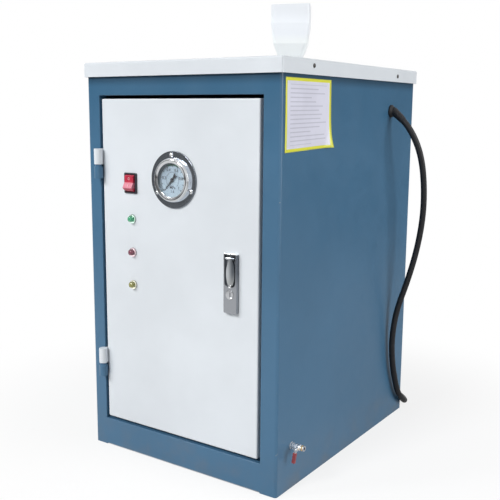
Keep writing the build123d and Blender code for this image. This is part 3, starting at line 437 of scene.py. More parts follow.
def cloudy_plastic(name, colour):
    """The funnel: milky plastic that scatters light, with faint flow lines, painted shade that dims it at its mouth
    and painted light that makes it paler low down.
    """
    wall = Finish(name, {"Roughness": 0.32, "Subsurface Weight": 0.08, "Subsurface Scale": 0.002})
    wall.set({"Subsurface Radius": (1.0, 1.0, 1.0)})
    flow = wall.band(wall.noise(16.0, 4.0, (1.0, 1.0, 3.0)), 0.3, 0.7)
    milk = wall.blend(flow, tint(colour, 0.99), tint(colour, 1.01))
    _, _, z = wall.axes()
    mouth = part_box("filler_funnel")[1].z
    # Painted light: the lower part, which faces down, is made paler.
    milk = wall.blend(wall.band(z, mouth - 0.046, mouth - 0.062), milk, tint(colour, 1.06))
    # Painted shade: the part near the mouth is dimmed.
    wall.set({"Base Color": wall.blend(wall.band(z, mouth - 0.034, mouth - 0.008), milk, tint(colour, 0.91))})
    wall.grain(300.0, 2.0, 0.00008, 0.25)
    return wall.material


def boiler_steel(name):
    """Welded plate: grey mill skin with rust-brown clouds and heat tint."""
    plate = Finish(name, {"Metallic": 0.85})
    skin = plate.blend(plate.cloud(9.0, 6.0, 0.35, 0.7), (0.22, 0.225, 0.235), (0.40, 0.41, 0.42))
    heat = plate.times(plate.cloud(14.0, 5.0, 0.55, 0.8), 0.5)
    plate.set({"Base Color": plate.blend(heat, skin, (0.20, 0.12, 0.075))})
    plate.set({"Roughness": plate.cloud(60.0, 5.0, 0.3, 0.7, 0.38, 0.6)})
    plate.grain(220.0, 4.0, 0.0003, 0.3)
    return plate.material


def dial_enamel(name):
    """The dial plate: matt pale enamel with a slight cold cast, and a painted shadow of the bezel that dims it to the
    upper left.
    """
    plate = Finish(name, {"Roughness": 0.5})
    x, _, z = plate.axes(tuple(node_middle("gauge_dial")))
    # Painted shadow of the bezel, darkest towards the upper left.
    dim = plate.band(plate.math("SUBTRACT", x, z), -0.034, 0.004, 0.85, 0.0)
    tone = plate.cloud(60.0, 3.0)
    body = plate.blend(tone, (0.275, 0.345, 0.41), (0.305, 0.375, 0.44))
    plate.set({"Base Color": plate.blend(dim, body, (0.155, 0.20, 0.245))})
    plate.grain(900.0, 2.0, 0.00003, 0.3)
    return plate.material


def sheath(name, colour):
    """The cable's rubber sheath: dull black with dust and fine drawing lines."""
    skin = Finish(name, {"Specular IOR Level": 0.4})
    dust = skin.times(skin.cloud(34.0, 5.0, 0.5, 0.8), 0.2)
    skin.set({"Base Color": skin.blend(dust, colour, (0.055, 0.055, 0.06))})
    skin.set({"Roughness": skin.cloud(90.0, 4.0, 0.3, 0.7, 0.42, 0.58)})
    skin.grain(500.0, 2.0, 0.00012, 0.3)
    return skin.material


def blank_card(name, paper, border):
    """A blank ruled card: paper inside a coloured border, with plain grey rules, by its own flat coordinates."""
    sheet = Finish(name, {"Roughness": 0.38, "Coat Weight": 0.25})
    across, up, _ = sheet.add("SeparateXYZ", {0: sheet.add("TexCoord").outputs["UV"]}).outputs
    side = sheet.math("MINIMUM", across, sheet.without(across))
    end = sheet.math("MINIMUM", up, sheet.without(up))
    inside = sheet.math("MINIMUM", sheet.band(side, 0.034, 0.038), sheet.band(end, 0.041, 0.046))
    lines = sheet.times(up, 17.0)
    rows = sheet.math("ABSOLUTE", sheet.math("SUBTRACT", sheet.math("FRACT", lines), 0.5))
    reach = sheet.add("TexWhiteNoise", {"W": sheet.math("FLOOR", lines)}, noise_dimensions="1D").outputs["Value"]
    stop = sheet.math("SUBTRACT", sheet.band(reach, 0.0, 1.0, 0.55, 0.91), across)
    margin = sheet.math("MINIMUM", sheet.band(across, 0.10, 0.105), sheet.band(end, 0.085, 0.09))
    margin = sheet.math("MINIMUM", margin, sheet.band(stop, 0.0, 0.005))
    rule = sheet.times(sheet.band(rows, 0.17, 0.09), margin)
    fade = sheet.times(rule, 0.36)
    tone = sheet.blend(sheet.cloud(24.0, 4.0), tint(paper, 0.95), tint(paper, 1.03))
    page = sheet.blend(fade, tone, (0.22, 0.22, 0.30))
    sheet.set({"Base Color": sheet.blend(inside, border, page)})
    sheet.grain(70.0, 3.0, 0.0004, 0.3)
    return sheet.material


def make_finishes():
    """Every finish of the object, by the name of its slot or its print."""
    paint = colours()
    overhang = 0.0035
    made = {
        "blue_paint": powder_coat(
            "blue_powder_coat", paint.cabinet_blue, (0.35, 0.36, 0.37), (0.16, 0.15, 0.14), HALF_WIDTH, -FRONT,
            chips=0.66, painted_sheen=0.055, painted_lid_shade=0.12
        ),
        "white_paint": powder_coat(
            "white_powder_coat", paint.door_white, (0.40, 0.40, 0.40), (0.45, 0.42, 0.38), HALF_WIDTH + overhang,
            -FRONT + overhang, chips=0.69, painted_sheen=0.0, painted_lid_shade=0.02
        ),
        "zinc_sheet": plated("zinc_sheet", (0.55, 0.57, 0.60), 0.42, 60.0, (0.38, 0.39, 0.41)),
        "polished_steel": plated("polished_steel", (0.64, 0.66, 0.68), 0.10, 300.0, (0.5, 0.51, 0.52)),
        "bright_plating": plated(
            "bright_plating", (0.66, 0.67, 0.69), 0.24, 700.0, (0.50, 0.50, 0.51), (1.0, 1.0, 0.04)
        ),
        "lock_plating": lock_plating("lock_plating", (0.30, 0.32, 0.34), (0.16, 0.175, 0.20), (0.33, 0.345, 0.37)),
        "lock_grip": lock_plating("lock_grip", (0.62, 0.65, 0.68), (0.13, 0.145, 0.165), (0.42, 0.43, 0.43)),
        "lock_barrel": plated("lock_barrel", (0.52, 0.53, 0.55), 0.13, 500.0, (0.42, 0.43, 0.45)),
        "grey_plating": plated("grey_plating", (0.76, 0.77, 0.79), 0.28, 240.0, (0.60, 0.60, 0.61)),
        "dark_screw": plated("dark_screws", (0.075, 0.073, 0.070), 0.36, 400.0, (0.05, 0.04, 0.035)),
        "brass": plated("brass_fittings", (0.72, 0.55, 0.30), 0.26, 320.0, (0.50, 0.36, 0.19)),
        "boiler_steel": boiler_steel("boiler_steel"),
        "gauge_black": flange_steel("flange_steel"),
        "dial_white": dial_enamel("dial_enamel"),
        "clear_glass": clear_glass("gauge_pane"),
        "red_plastic": rocker_plastic("rocker_red", paint.rocker_red),
        "funnel_plastic": cloudy_plastic("funnel_plastic", paint.funnel_white),
        "black_rubber": sheath("cable_sheath", paint.cable_black),
        "card": blank_card("blank_card", paint.card_paper, paint.card_border),
    }
    for finish, name, colour, roughness, grain, depth in (
        ("needle_black", "needle_lacquer", (0.012, 0.013, 0.018), 0.4, 900.0, 0.00002),
        ("black_plastic", "black_moulding", (0.013, 0.013, 0.015), 0.38, 1400.0, 0.00006),
        ("switch_black", "switch_black", (0.034, 0.036, 0.046), 0.34, 1400.0, 0.00006),
        ("red_sleeve", "grip_vinyl", paint.grip_red, 0.36, 500.0, 0.00010),
        ("dial_print", "dial_print", (0.012, 0.016, 0.026), 0.5, 900.0, 0.00001),
        ("dial_green", "dial_green", (0.012, 0.085, 0.05), 0.5, 900.0, 0.00001),
        ("switch_print", "switch_print", (0.75, 0.68, 0.68), 0.4, 900.0, 0.00001),
        # A matt grey that paints the shade of the lock's pocket.
        ("pocket_grey", "pocket_grey", (0.20, 0.215, 0.24), 0.35, 600.0, 0.00006),
    ):
        made[finish] = moulded(name, colour, roughness, grain, depth)
    for lamp in LAMPS:
        glow = getattr(paint, "lamp_" + lamp)
        made[lamp + "_ring"] = lamp_ring(lamp + "_ring", glow, lamp + "_lamp_bezel")
        made[lamp + "_lens"] = lens(lamp + "_cap", glow, lamp + "_lamp_lens")
    return made


FINISHES = {}


FACINGS = {
    "front": ((1.0, 0.0, 0.0), (0.0, 0.0, 1.0), (0.0, -1.0, 0.0)),
    "right": ((0.0, 1.0, 0.0), (0.0, 0.0, 1.0), (1.0, 0.0, 0.0)),
    "left": ((0.0, -1.0, 0.0), (0.0, 0.0, 1.0), (-1.0, 0.0, 0.0)),
    "back": ((-1.0, 0.0, 0.0), (0.0, 0.0, 1.0), (0.0, 1.0, 0.0)),
}
CUBE_FACES = np.array([(0, 1, 2, 3), (4, 5, 6, 7), (0, 1, 5, 4), (1, 2, 6, 5), (2, 3, 7, 6), (3, 0, 4, 7)])


def facing(side, x, y, z):
    """A place on a side of the object: the ways to the right, up and out of that side as rows, and its origin."""
    return np.array(FACINGS[side]), np.array([x, y, z])


def facing_round(middle, y, reach, turn):
    """A place that faces the front, at a reach and a turn in radians round a middle."""
    return facing("front", middle.x + reach * math.cos(turn), y, middle.z + reach * math.sin(turn))


def full_turn(count):
    """Even angles round a full turn."""
    return np.linspace(0.0, 2.0 * np.pi, count, endpoint=False)


def crossed(first, second):
    """Two lines of values as the two ways of a grid."""
    return np.meshgrid(first, second, indexing="ij")


def polar(radius, angle, height):
    """Points round an axis: x = r cos t, y = r sin t, z = h."""
    return np.stack(np.broadcast_arrays(radius * np.cos(angle), radius * np.sin(angle), height), -1)


def unit(vectors):
    """Vectors cut to a length of one."""
    return vectors / np.linalg.norm(vectors, axis=-1, keepdims=True)


def rounded_square(count, power):
    """Points of |x|^n + |y|^n = 1, where n is 2 over the power: each is a sign times a share to that power."""
    angle = full_turn(count)
    return [np.sign(wave) * np.abs(wave) ** power for wave in (np.cos(angle), np.sin(angle))]


def lay(points, place):
    """Points of a place in the frame: origin + x right + y up + z out."""
    rows, origin = place
    return points.reshape(-1, 3) @ rows + origin


def grid_faces(rows, columns, closed_rows=False, closed_columns=False):
    """Quads of a grid of points kept row by row; a closed way joins its last line to its first."""
    i, j = crossed(
        np.arange(rows if closed_rows else rows - 1), np.arange(columns if closed_columns else columns - 1)
    )
    down, along = (i + 1) % rows, (j + 1) % columns
    corners = [i * columns + j, i * columns + along, down * columns + along, down * columns + j]
    return np.stack(corners, -1).reshape(-1, 4)


def joined(shapes):
    """Several (points, faces) pairs as one."""
    points, faces, start = [], [], 0
    for shape_points, shape_faces in shapes:
        points.append(shape_points)
        faces.extend((np.asarray(shape_faces) + start).tolist())
        start += len(shape_points)
    return np.concatenate(points), faces


def vertices_of(mesh):
    """A mesh's points as rows."""
    points = np.zeros(3 * len(mesh.vertices))
    mesh.vertices.foreach_get("co", points)
    return points.reshape(-1, 3)


def new_object(name, data):
    """A new object in the scene."""
    thing = bpy.data.objects.new(name, data)
    bpy.context.scene.collection.objects.link(thing)
    return thing


def aim(thing, right, up, back, place):
    """Turns a camera or a lamp to three ways and sets it at a place."""
    view = np.eye(4)
    view[:3] = np.stack([right, up, back, place], 1)
    thing.matrix_world = Matrix(view.tolist())


def make_piece(name, shapes, finish, body, crease=35.0):
    """A mesh piece from (points, faces) pairs, welded, faced outwards, with its finish, riding on a body."""
    points, faces = joined(shapes)
    mesh = bpy.data.meshes.new(name)
    mesh.from_pydata(points.tolist(), [], faces)
    work = bmesh.new()
    work.from_mesh(mesh)
    bmesh.ops.remove_doubles(work, verts=work.verts, dist=1e-7)
    bmesh.ops.recalc_face_normals(work, faces=work.faces)
    work.to_mesh(mesh)
    work.free()
    mesh.shade_smooth()
    mesh.set_sharp_from_angle(angle=math.radians(crease))
    mesh.materials.append(FINISHES[finish])
    piece = new_object(name, mesh)
    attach(piece, body)
    return piece


def turned(profile, place, sides):
    """A profile of (r, h) points carried round an axis."""
    radius, height = np.array(profile, float).T[:, :, None]
    return lay(polar(radius, full_turn(sides), height), place), grid_faces(len(profile), sides, closed_columns=True)


def smoothed(profile, steps):
    """A profile's corners softened: each is cut off a quarter of the way along its sides, several times over."""
    line = np.array(profile, float)
    for _ in range(steps):
        first, second = line[:-1], line[1:]
        cut = np.stack([0.75 * first + 0.25 * second, 0.25 * first + 0.75 * second], 1).reshape(-1, 2)
        line = np.concatenate([line[:1], cut[1:-1], line[-1:]])
    return line


def screw_head(radius, height, place, turn):
    """A domed head: height falls with the square of the radius, less a driver's cut within the cut's width."""
    share, angle = crossed(np.append(np.linspace(0.0, 1.0, 17), 1.0), full_turn(60))
    x, y = radius * share * np.cos(angle), radius * share * np.sin(angle)
    along, across = x * np.cos(turn) + y * np.sin(turn), y * np.cos(turn) - x * np.sin(turn)
    rise = height * (1.0 - 0.5 * share ** 2)
    width = 0.13 * radius
    in_cut = ((np.abs(across) < width) | (np.abs(along) < width)) & (share < 0.66)
    rise = rise - 0.45 * height * in_cut
    rise[-1] = 0.0
    return lay(np.stack([x, y, rise], -1), place), grid_faces(18, 60, closed_columns=True)


def hex_head(flats, height, place, turn):
    """A hexagonal head with a chamfered top: its radius is half its width over the cosine of the angle from a flat."""
    angle = full_turn(60)
    corner = 0.5 * flats / np.cos((angle + np.pi / 6.0) % (np.pi / 3.0) - np.pi / 6.0)
    full = np.minimum(corner, 0.545 * flats)
    shares = [(corner, 0.0), (corner, 0.80), (full, 0.88), (np.full(60, 0.47 * flats), 1.0), (np.zeros(60), 1.0)]
    rows = np.stack([polar(radius, angle + turn, share * height) for radius, share in shares])
    return lay(rows, place), grid_faces(5, 60, closed_columns=True)


def arc_band(inner, outer, first, last, thickness, place, steps=64):
    """A flat band along an arc: the four corners of its section carried from the first angle to the last."""
    angle = np.radians(np.linspace(first, last, steps))[:, None]
    points = polar(np.array([inner, outer, outer, inner]), angle, np.array([0.0, 0.0, thickness, thickness]))
    ends = np.array([(0, 1, 2, 3), (4 * steps - 4, 4 * steps - 3, 4 * steps - 2, 4 * steps - 1)])
    return lay(points, place), np.concatenate([grid_faces(steps, 4, closed_columns=True), ends])


def spokes(angles, inner, outer, half_width, thickness, place):
    """Bars that point out from a centre: the eight corners of one bar turned to each angle."""
    turn = np.radians(np.asarray(angles, float))[:, None]
    inner, outer = np.broadcast_to(inner, turn.shape[:1])[:, None], np.broadcast_to(outer, turn.shape[:1])[:, None]
    far = np.array([0, 0, 1, 1, 0, 0, 1, 1])
    side = half_width * np.array([-1, 1, 1, -1, -1, 1, 1, -1])
    height = np.broadcast_to(thickness * np.array([0, 0, 0, 0, 1, 1, 1, 1]), (len(turn), 8))
    reach = inner + (outer - inner) * far
    points = np.stack([
        reach * np.cos(turn) - side * np.sin(turn), reach * np.sin(turn) + side * np.cos(turn), height
    ], -1)
    faces = (CUBE_FACES[None] + 8 * np.arange(len(turn))[:, None, None]).reshape(-1, 4)
    return lay(points, place), faces


def words(text, height, thickness, place):
    """A line of figures as a mesh: the font's outline filled and thickened, centred on its place."""
    curve = bpy.data.curves.new("figures", "FONT")
    curve.body = text
    curve.size = height
    curve.align_x = "CENTER"
    curve.align_y = "CENTER"
    curve.extrude = thickness / 2
    curve.offset = 0.02 * height
    curve.resolution_u = 4
    holder = bpy.data.objects.new("figures", curve)
    mesh = bpy.data.meshes.new_from_object(holder)
    mesh.calc_loop_triangles()
    points = vertices_of(mesh) + (0.0, 0.0, thickness / 2)
    faces = np.zeros(3 * len(mesh.loop_triangles), int)
    mesh.loop_triangles.foreach_get("vertices", faces)
    bpy.data.objects.remove(holder)
    bpy.data.meshes.remove(mesh)
    bpy.data.curves.remove(curve)
    return lay(points, place), faces.reshape(-1, 3)


def along_path(path, radii, sides=32):
    """A tube along a path: at each point, a ring of that radius in the plane square to the path's direction."""
    ahead = unit(np.gradient(path, axis=0))
    across = unit(np.cross(ahead, (0.0, 0.0, 1.0)))
    over = np.cross(across, ahead)
    angle = full_turn(sides)
    ring = np.cos(angle)[None, :, None] * across[:, None] + np.sin(angle)[None, :, None] * over[:, None]
    points = path[:, None] + np.asarray(radii)[:, None, None] * ring
    return points.reshape(-1, 3), grid_faces(len(path), sides, closed_columns=True)


class STEAM_OT_camera(bpy.types.Operator):
    """Sets the camera at the photograph's view"""

    bl_idname = "steam.camera"
    bl_label = "Camera"

    def execute(self, context):
        yaw, pitch, roll = (math.radians(angle) for angle in (34.209, 9.918, 0.455))
        place = (0.7125, -1.0743, 0.5285)
        ahead = np.array([-math.sin(yaw) * math.cos(pitch), math.cos(yaw) * math.cos(pitch), -math.sin(pitch)])
        right = unit(np.cross(ahead, (0.0, 0.0, 1.0)))
        up = np.cross(right, ahead)
        side = math.cos(roll) * right + math.sin(roll) * up
        top = math.cos(roll) * up - math.sin(roll) * right
        lens_data = bpy.data.cameras.new("view")
        lens_data.lens = 56.58
        lens_data.sensor_width = 36.0
        camera = new_object("view", lens_data)
        aim(camera, side, top, -ahead, place)
        context.scene.camera = camera
        return {"FINISHED"}


class STEAM_OT_finishes(bpy.types.Operator):
    """Makes the finishes and puts them on the solids"""

    bl_idname = "steam.finishes"
    bl_label = "Finishes"

    def execute(self, context):
        FINISHES.update(make_finishes())
        slots = {
            "blue_paint": "left_stile right_stile top_rail bottom_rail left_side_panel right_side_panel back_panel "
                          "upper_hinge_frame_barrel lower_hinge_frame_barrel upper_hinge_pin lower_hinge_pin",
            "white_paint": "lid door_panel upper_hinge_door_barrel lower_hinge_door_barrel",
            "zinc_sheet": "base_pan",
            "polished_steel": "gauge_bezel",
            "lock_plating": "lock_plate",
            "lock_grip": "lock_handle",
            "lock_barrel": "lock_cylinder",
            "grey_plating": "lock_case latch_tongue drain_lever drain_nipple drain_valve_body",
            "boiler_steel": "boiler_shell boiler_stand heater_flange",
            "brass": "steam_outlet steam_pipe filler_pipe drain_pipe",
            "gauge_black": "gauge_case",
            "dial_white": "gauge_dial",
            "needle_black": "gauge_needle",
            "clear_glass": "gauge_glass",
            "black_plastic": "cable_plug",
            "switch_black": "switch_housing",
            "red_plastic": "switch_rocker",
            "funnel_plastic": "filler_funnel",
            "red_sleeve": "drain_grip",
            "black_rubber": "cable_grommet cable_run cable_coil cable_tail",
        }
        for lamp in LAMPS:
            slots[lamp + "_ring"] = lamp + "_lamp_bezel"
            slots[lamp + "_lens"] = lamp + "_lamp_lens"
        for slot, nodes in slots.items():
            for node in nodes.split():
                for holder in NODES[node].material_slots:
                    holder.material = FINISHES[slot]
        return {"FINISHED"}


def coil_points():
    """Turns of the coil: the angle falls evenly while the ring's radius and height step from ring to ring.

    Outer ring low, inner ring low, inner ring high, outer ring high; each step is spread over a sixth of a turn,
    and comes a sixth of a turn earlier each time, so that turns lie beside and on each other.
    """
    size = sizes()
    step = 22.5
    sweep = np.arange(0.0, 1095.0, step)
    inward = np.interp(sweep, (300.0, 360.0, 900.0, 960.0), (0.0, 1.0, 1.0, 0.0))
    climb = np.interp(sweep, (600.0, 660.0), (0.0, 1.0))
    radius = size.coil_outer + (size.coil_inner - size.coil_outer) * inward
    radius = radius / (0.75 + 0.25 * math.cos(math.radians(step)))
    lowest = 0.0057
    height = lowest + size.cable_diameter * climb
    angle = np.radians(290.0 - sweep)
    middle = node_middle("cable_coil")
    return polar(radius, angle, height) + (middle.x, middle.y, 0.0)


def cable_spline(points):
    """The cable's line as a curve with no thickness: a smooth spline with the points as its control points."""
    curve = bpy.data.curves.new("power_cable", "CURVE")
    curve.dimensions = "3D"
    spline = curve.splines.new("NURBS")
    spline.points.add(len(points) - 1)
    spline.points.foreach_set("co", np.c_[points, np.ones(len(points))].ravel())
    spline.order_u = 3
    spline.use_endpoint_u = True
    spline.resolution_u = 6
    return new_object("power_cable", curve)


def line_of(curve_object):
    """The points of a curve's own line, in order."""
    mesh = bpy.data.meshes.new_from_object(curve_object)
    points = vertices_of(mesh)
    bpy.data.meshes.remove(mesh)
    return points


class STEAM_OT_cable(bpy.types.Operator):
    """Lays the power cable from its grommet to the tied coil and the plug"""

    bl_idname = "steam.cable"
    bl_label = "Power cable"

    def execute(self, context):
        size = sizes()
        radius = size.cable_diameter / 2
        cable = cable_spline(np.concatenate([RUN_POINTS, coil_points(), TAIL_POINTS]))
        path = line_of(cable)
        steps = np.linalg.norm(np.diff(path, axis=0), axis=1)
        travel = np.append(0.0, np.cumsum(steps))
        cable.data.bevel_depth = radius
        cable.data.bevel_resolution = 6
        cable.data.use_fill_caps = True
        cable.data.materials.append(FINISHES["black_rubber"])
        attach(cable, "cabinet")
        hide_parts("cable_run", "cable_coil", "cable_tail")

        boot_end = 0.024
        boot_travel = np.linspace(0.0, boot_end, 25)
        boot_path = np.stack([np.interp(boot_travel, travel, path[:, axis]) for axis in range(3)], -1)
        rib_height, rib_pitch = 0.00035, 0.0036
        ribs = rib_height * np.maximum(0.0, np.sin(boot_travel / rib_pitch * 2.0 * np.pi))
        boot_radii = np.interp(boot_travel, (0.0, 0.004, boot_end), (0.0068, 0.0066, 0.0054)) + ribs
        slack = 0.0004
        boot_radii[-1] = radius - slack
        boot = make_piece(
            "cable_boot", [along_path(boot_path, boot_radii)], "black_rubber", "cabinet"
        )
        tie = make_piece("coil_tie", [self.tie_loop()], "black_plastic", "cabinet")
        return {"FINISHED"}

    def tie_loop(self):
        """A strap round the coil's bundle: a rounded square carried along a short arc of the coil."""
        size = sizes()
        middle = node_middle("cable_coil")
        ring = (size.coil_outer + size.coil_inner) / 2
        half = size.cable_diameter + 0.0004
        x, z = rounded_square(64, 2.0 / 5.0)
        turn = np.radians(np.array([116.0, 116.0, 124.0, 124.0, 116.0]))[:, None]
        reach = half * np.array([0.97, 1.03, 1.03, 0.97, 0.97])[:, None]
        bundle_height = 0.0107
        points = polar(ring + reach * x, turn, bundle_height + reach * z) + (middle.x, middle.y, 0.0)
        return points.reshape(-1, 3), grid_faces(5, 64, closed_columns=True)


class STEAM_OT_gauge(bpy.types.Operator):
    """Adds the gauge's rolled bezel, its dial's print and its flange screws"""

    bl_idname = "steam.gauge"
    bl_label = "Gauge"

    def execute(self, context):
        dial_low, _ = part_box("gauge_dial")
        middle = node_middle("gauge_dial")
        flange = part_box("gauge_bezel")[1].y
        on_flange = facing("front", middle.x, flange, middle.z)
        on_dial = facing("front", middle.x, dial_low.y, middle.z)
        profile = [
            (0.0312, -0.0002), (0.0315, 0.0004), (0.0315, 0.0026), (0.0311, 0.0046), (0.0300, 0.0062),
            (0.0287, 0.0070), (0.0277, 0.0069), (0.0262, 0.0064), (0.0247, 0.0059), (0.0243, 0.0057),
            (0.0246, 0.0057), (0.0277, 0.0057), (0.0277, 0.0000), (0.0312, -0.0002),
        ]
        bezel = make_piece(
            "gauge_rolled_bezel", [turned(smoothed(profile, 2), on_flange, 96)], "polished_steel", "door",
            crease=60.0,
        )
        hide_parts("gauge_bezel")

        thin = 0.00006
        start, span = 225.0, 270.0
        rim, short, long = 0.0228, 0.0204, 0.0188
        figure_ring, screw_ring = 0.0156, 0.0354
        steps = np.arange(51)
        angles = start - span * steps / 50.0
        long_marks = steps % 5 == 0
        marks = [
            spokes(angles[~long_marks], short, rim, 0.00030, thin, on_dial),
            spokes(angles[long_marks], long, rim, 0.00055, thin, on_dial),
            arc_band(0.0226, 0.0230, start, start - span, thin, on_dial, 128),
            spokes(start - span * np.arange(31) / 30.0, 0.0104, 0.0116, 0.00022, thin, on_dial),
            arc_band(0.0114, 0.0117, start, start - span, thin, on_dial, 128),
        ]
        figures = ("0", "0.2", "0.4", "0.6", "0.8", "1")
        for share, figure in zip(np.linspace(0.0, 1.0, len(figures)), figures):
            place = facing_round(middle, dial_low.y, figure_ring, math.radians(start - span * share))
            marks.append(words(figure, sizes().dial_number, thin, place))
        for drop, mark, share in ((0.0108, "MPa", 1.0), (0.0163, "1.6", 0.85)):
            unit = facing("front", middle.x, dial_low.y, middle.z - drop)
            marks.append(words(mark, share * sizes().dial_number, thin, unit))
        make_piece("dial_print", marks, "dial_print", "door")
        green = arc_band(0.0206, 0.0224, 114.0, 60.0, 1.5 * thin, on_dial)
        make_piece("dial_green_band", [green], "dial_green", "door")
        hub = facing("front", middle.x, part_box("gauge_needle")[0].y, middle.z)
        cap = smoothed([(0.0013, -0.0002), (0.0013, 0.0004), (0.0009, 0.0006), (0.0, 0.0007)], 2)
        make_piece("needle_cap", [turned(cap, hub, 32)], "needle_black", "needle")

        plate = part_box("gauge_case")[0].y
        heads = []
        for angle in (95.0, 213.0, -25.0):
            turn = math.radians(angle)
            place = facing_round(middle, plate, screw_ring, turn)
            heads.append(screw_head(0.0027, 0.0022, place, turn))
            heads.append(turned([(0.0032, -0.0001), (0.0032, 0.0005), (0.0020, 0.0006)], place, 48))
        make_piece("gauge_screws", heads, "bright_plating", "door")
        return {"FINISHED"}


class STEAM_OT_switch(bpy.types.Operator):
    """Adds the rocker's on and off marks and the tabs behind the switch"""

    bl_idname = "steam.switch"
    bl_label = "Switch"

    def execute(self, context):
        middle = node_middle("switch_housing")
        tilt, pivot_in = math.radians(15.0), 0.0010
        half_face, slope_rise, ridge, mark_share = 0.00893, 0.00225, 0.0065, 0.56
        thin, mark_reach = 0.00006, 0.0019
        lean, rest = math.sin(tilt), math.cos(tilt)
        turn = np.array([(1.0, 0.0, 0.0), (0.0, rest, lean), (0.0, -lean, rest)])
        rows, _ = facing("front", 0.0, 0.0, 0.0)
        marks = []
        for side, mark in ((1.0, "ring"), (-1.0, "bar")):
            slope = np.array([0.0, side * half_face, slope_rise])
            up = np.array([0.0, abs(slope[1]), side * slope[2]]) / np.linalg.norm(slope)
            out = np.cross((1.0, 0.0, 0.0), up)
            centre = np.array([0.0, 0.0, ridge]) + mark_share * slope
            local = np.stack([np.array([1.0, 0.0, 0.0]), up, out])
            axes = local @ turn.T
            spot = turn @ centre - np.array([0.0, 0.0, pivot_in])
            place = (axes @ rows, spot @ rows + np.array([middle.x, FRONT, middle.z]))
            if mark == "ring":
                marks.append(arc_band(0.0014, mark_reach, 0.0, 360.0, thin, place, 40))
            else:
                marks.append(spokes([90.0, 270.0], 0.0, mark_reach, 0.00028, thin, place))
        make_piece("rocker_marks", marks, "switch_print", "rocker")
        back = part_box("switch_housing")[1].y
        half_width, half_thickness, ends = 0.0024, 0.0004, (-0.0005, 0.0085)
        corners = ((-1, -1), (1, -1), (1, 1), (-1, 1))
        tab = np.array([(x * half_width, y * half_thickness, z) for z in ends for x, y in corners])
        tabs = [
            (lay(tab, facing("back", middle.x + x, back, middle.z + z)), CUBE_FACES)
            for x in (-0.005, 0.005) for z in (-0.006, 0.006)
        ]
        make_piece("switch_tabs", tabs, "brass", "door")
        return {"FINISHED"}


class STEAM_OT_lock(bpy.types.Operator):
    """Puts a matt grey sheet on the lock pocket's floor as painted shade, and adds its rivet"""

    bl_idname = "steam.lock"
    bl_label = "Lock"

    def execute(self, context):
        low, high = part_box("lock_plate")
        middle = (low + high) / 2
        pocket_out, lining, rivet_drop = 0.00102, 0.00012, 0.0041
        floor = facing("front", middle.x, FRONT - pocket_out, middle.z)
        half_width, half_height, up = 0.0087, 0.0221, 0.0178
        x, y = rounded_square(96, 2.0 / 9.0)
        rows = np.stack([
            np.stack([share * half_width * x, up + share * half_height * y, np.full(96, rise)], -1)
            for share, rise in ((1.0, -0.0001), (1.0, lining), (0.5, lining), (0.0, lining))
        ])
        # A matt grey sheet on the pocket's floor: painted shade of the recess.
        shade_sheet = lay(rows, floor), grid_faces(4, 96, closed_columns=True)
        make_piece("lock_pocket_liner", [shade_sheet], "pocket_grey", "door")
        face = facing("front", middle.x, low.y, middle.z - rivet_drop)
        rivet = smoothed([(0.0024, -0.0002), (0.0024, 0.0004), (0.0016, 0.0009), (0.0012, 0.0004), (0.0, 0.0003)], 2)
        make_piece("lock_rivet", [turned(rivet, face, 40)], "bright_plating", "door")
        return {"FINISHED"}


class STEAM_OT_fasteners(bpy.types.Operator):
    """Adds the screws of the lid and the back, and the bolts and nuts inside"""

    bl_idname = "steam.fasteners"
    bl_label = "Fasteners"

    def execute(self, context):
        size = sizes()
        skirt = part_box("lid")[1].x
        lid_places, lid_rise = ((-0.1365, 0.5910), (0.1351, 0.5880)), 0.0014
        lid_heads = []
        for y, z in lid_places:
            lid_heads.append(screw_head(size.lid_screw, lid_rise, facing("right", skirt, y, z), 0.5))
            lid_heads.append(screw_head(size.lid_screw, lid_rise, facing("left", -skirt, y, z), 0.9))
        make_piece("lid_screws", lid_heads, "dark_screw", "cabinet")
        columns, rows, back_rise = (-0.160, 0.160), (0.060, 0.220, 0.380, 0.540), 0.0022
        heads = [
            screw_head(size.panel_screw, back_rise, facing("back", x, BACK, z), 0.3 + 7.0 * z)
            for x in columns for z in rows
        ]
        make_piece("back_screws", heads, "grey_plating", "cabinet")
        middle = node_middle("heater_flange")
        flange_depth, bolt_ring = 0.009, 0.0385
        bolt_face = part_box("heater_flange")[1].y - flange_depth
        bolts = []
        for step in range(6):
            turn = math.radians(60.0 * step + 30.0)
            place = facing_round(middle, bolt_face, bolt_ring, turn)
            bolts.append(hex_head(0.010, 0.0060, place, turn))
        make_piece("heater_bolts", bolts, "grey_plating", "cabinet")
        behind_sheet = 0.0013
        nuts = []
        for colour in LAMPS:
            lamp = node_middle(colour + "_lamp_bezel")
            nuts.append(hex_head(0.014, 0.0032, facing("back", lamp.x, FRONT + behind_sheet, lamp.z), lamp.z * 40.0))
        make_piece("lamp_nuts", nuts, "grey_plating", "door")
        return {"FINISHED"}


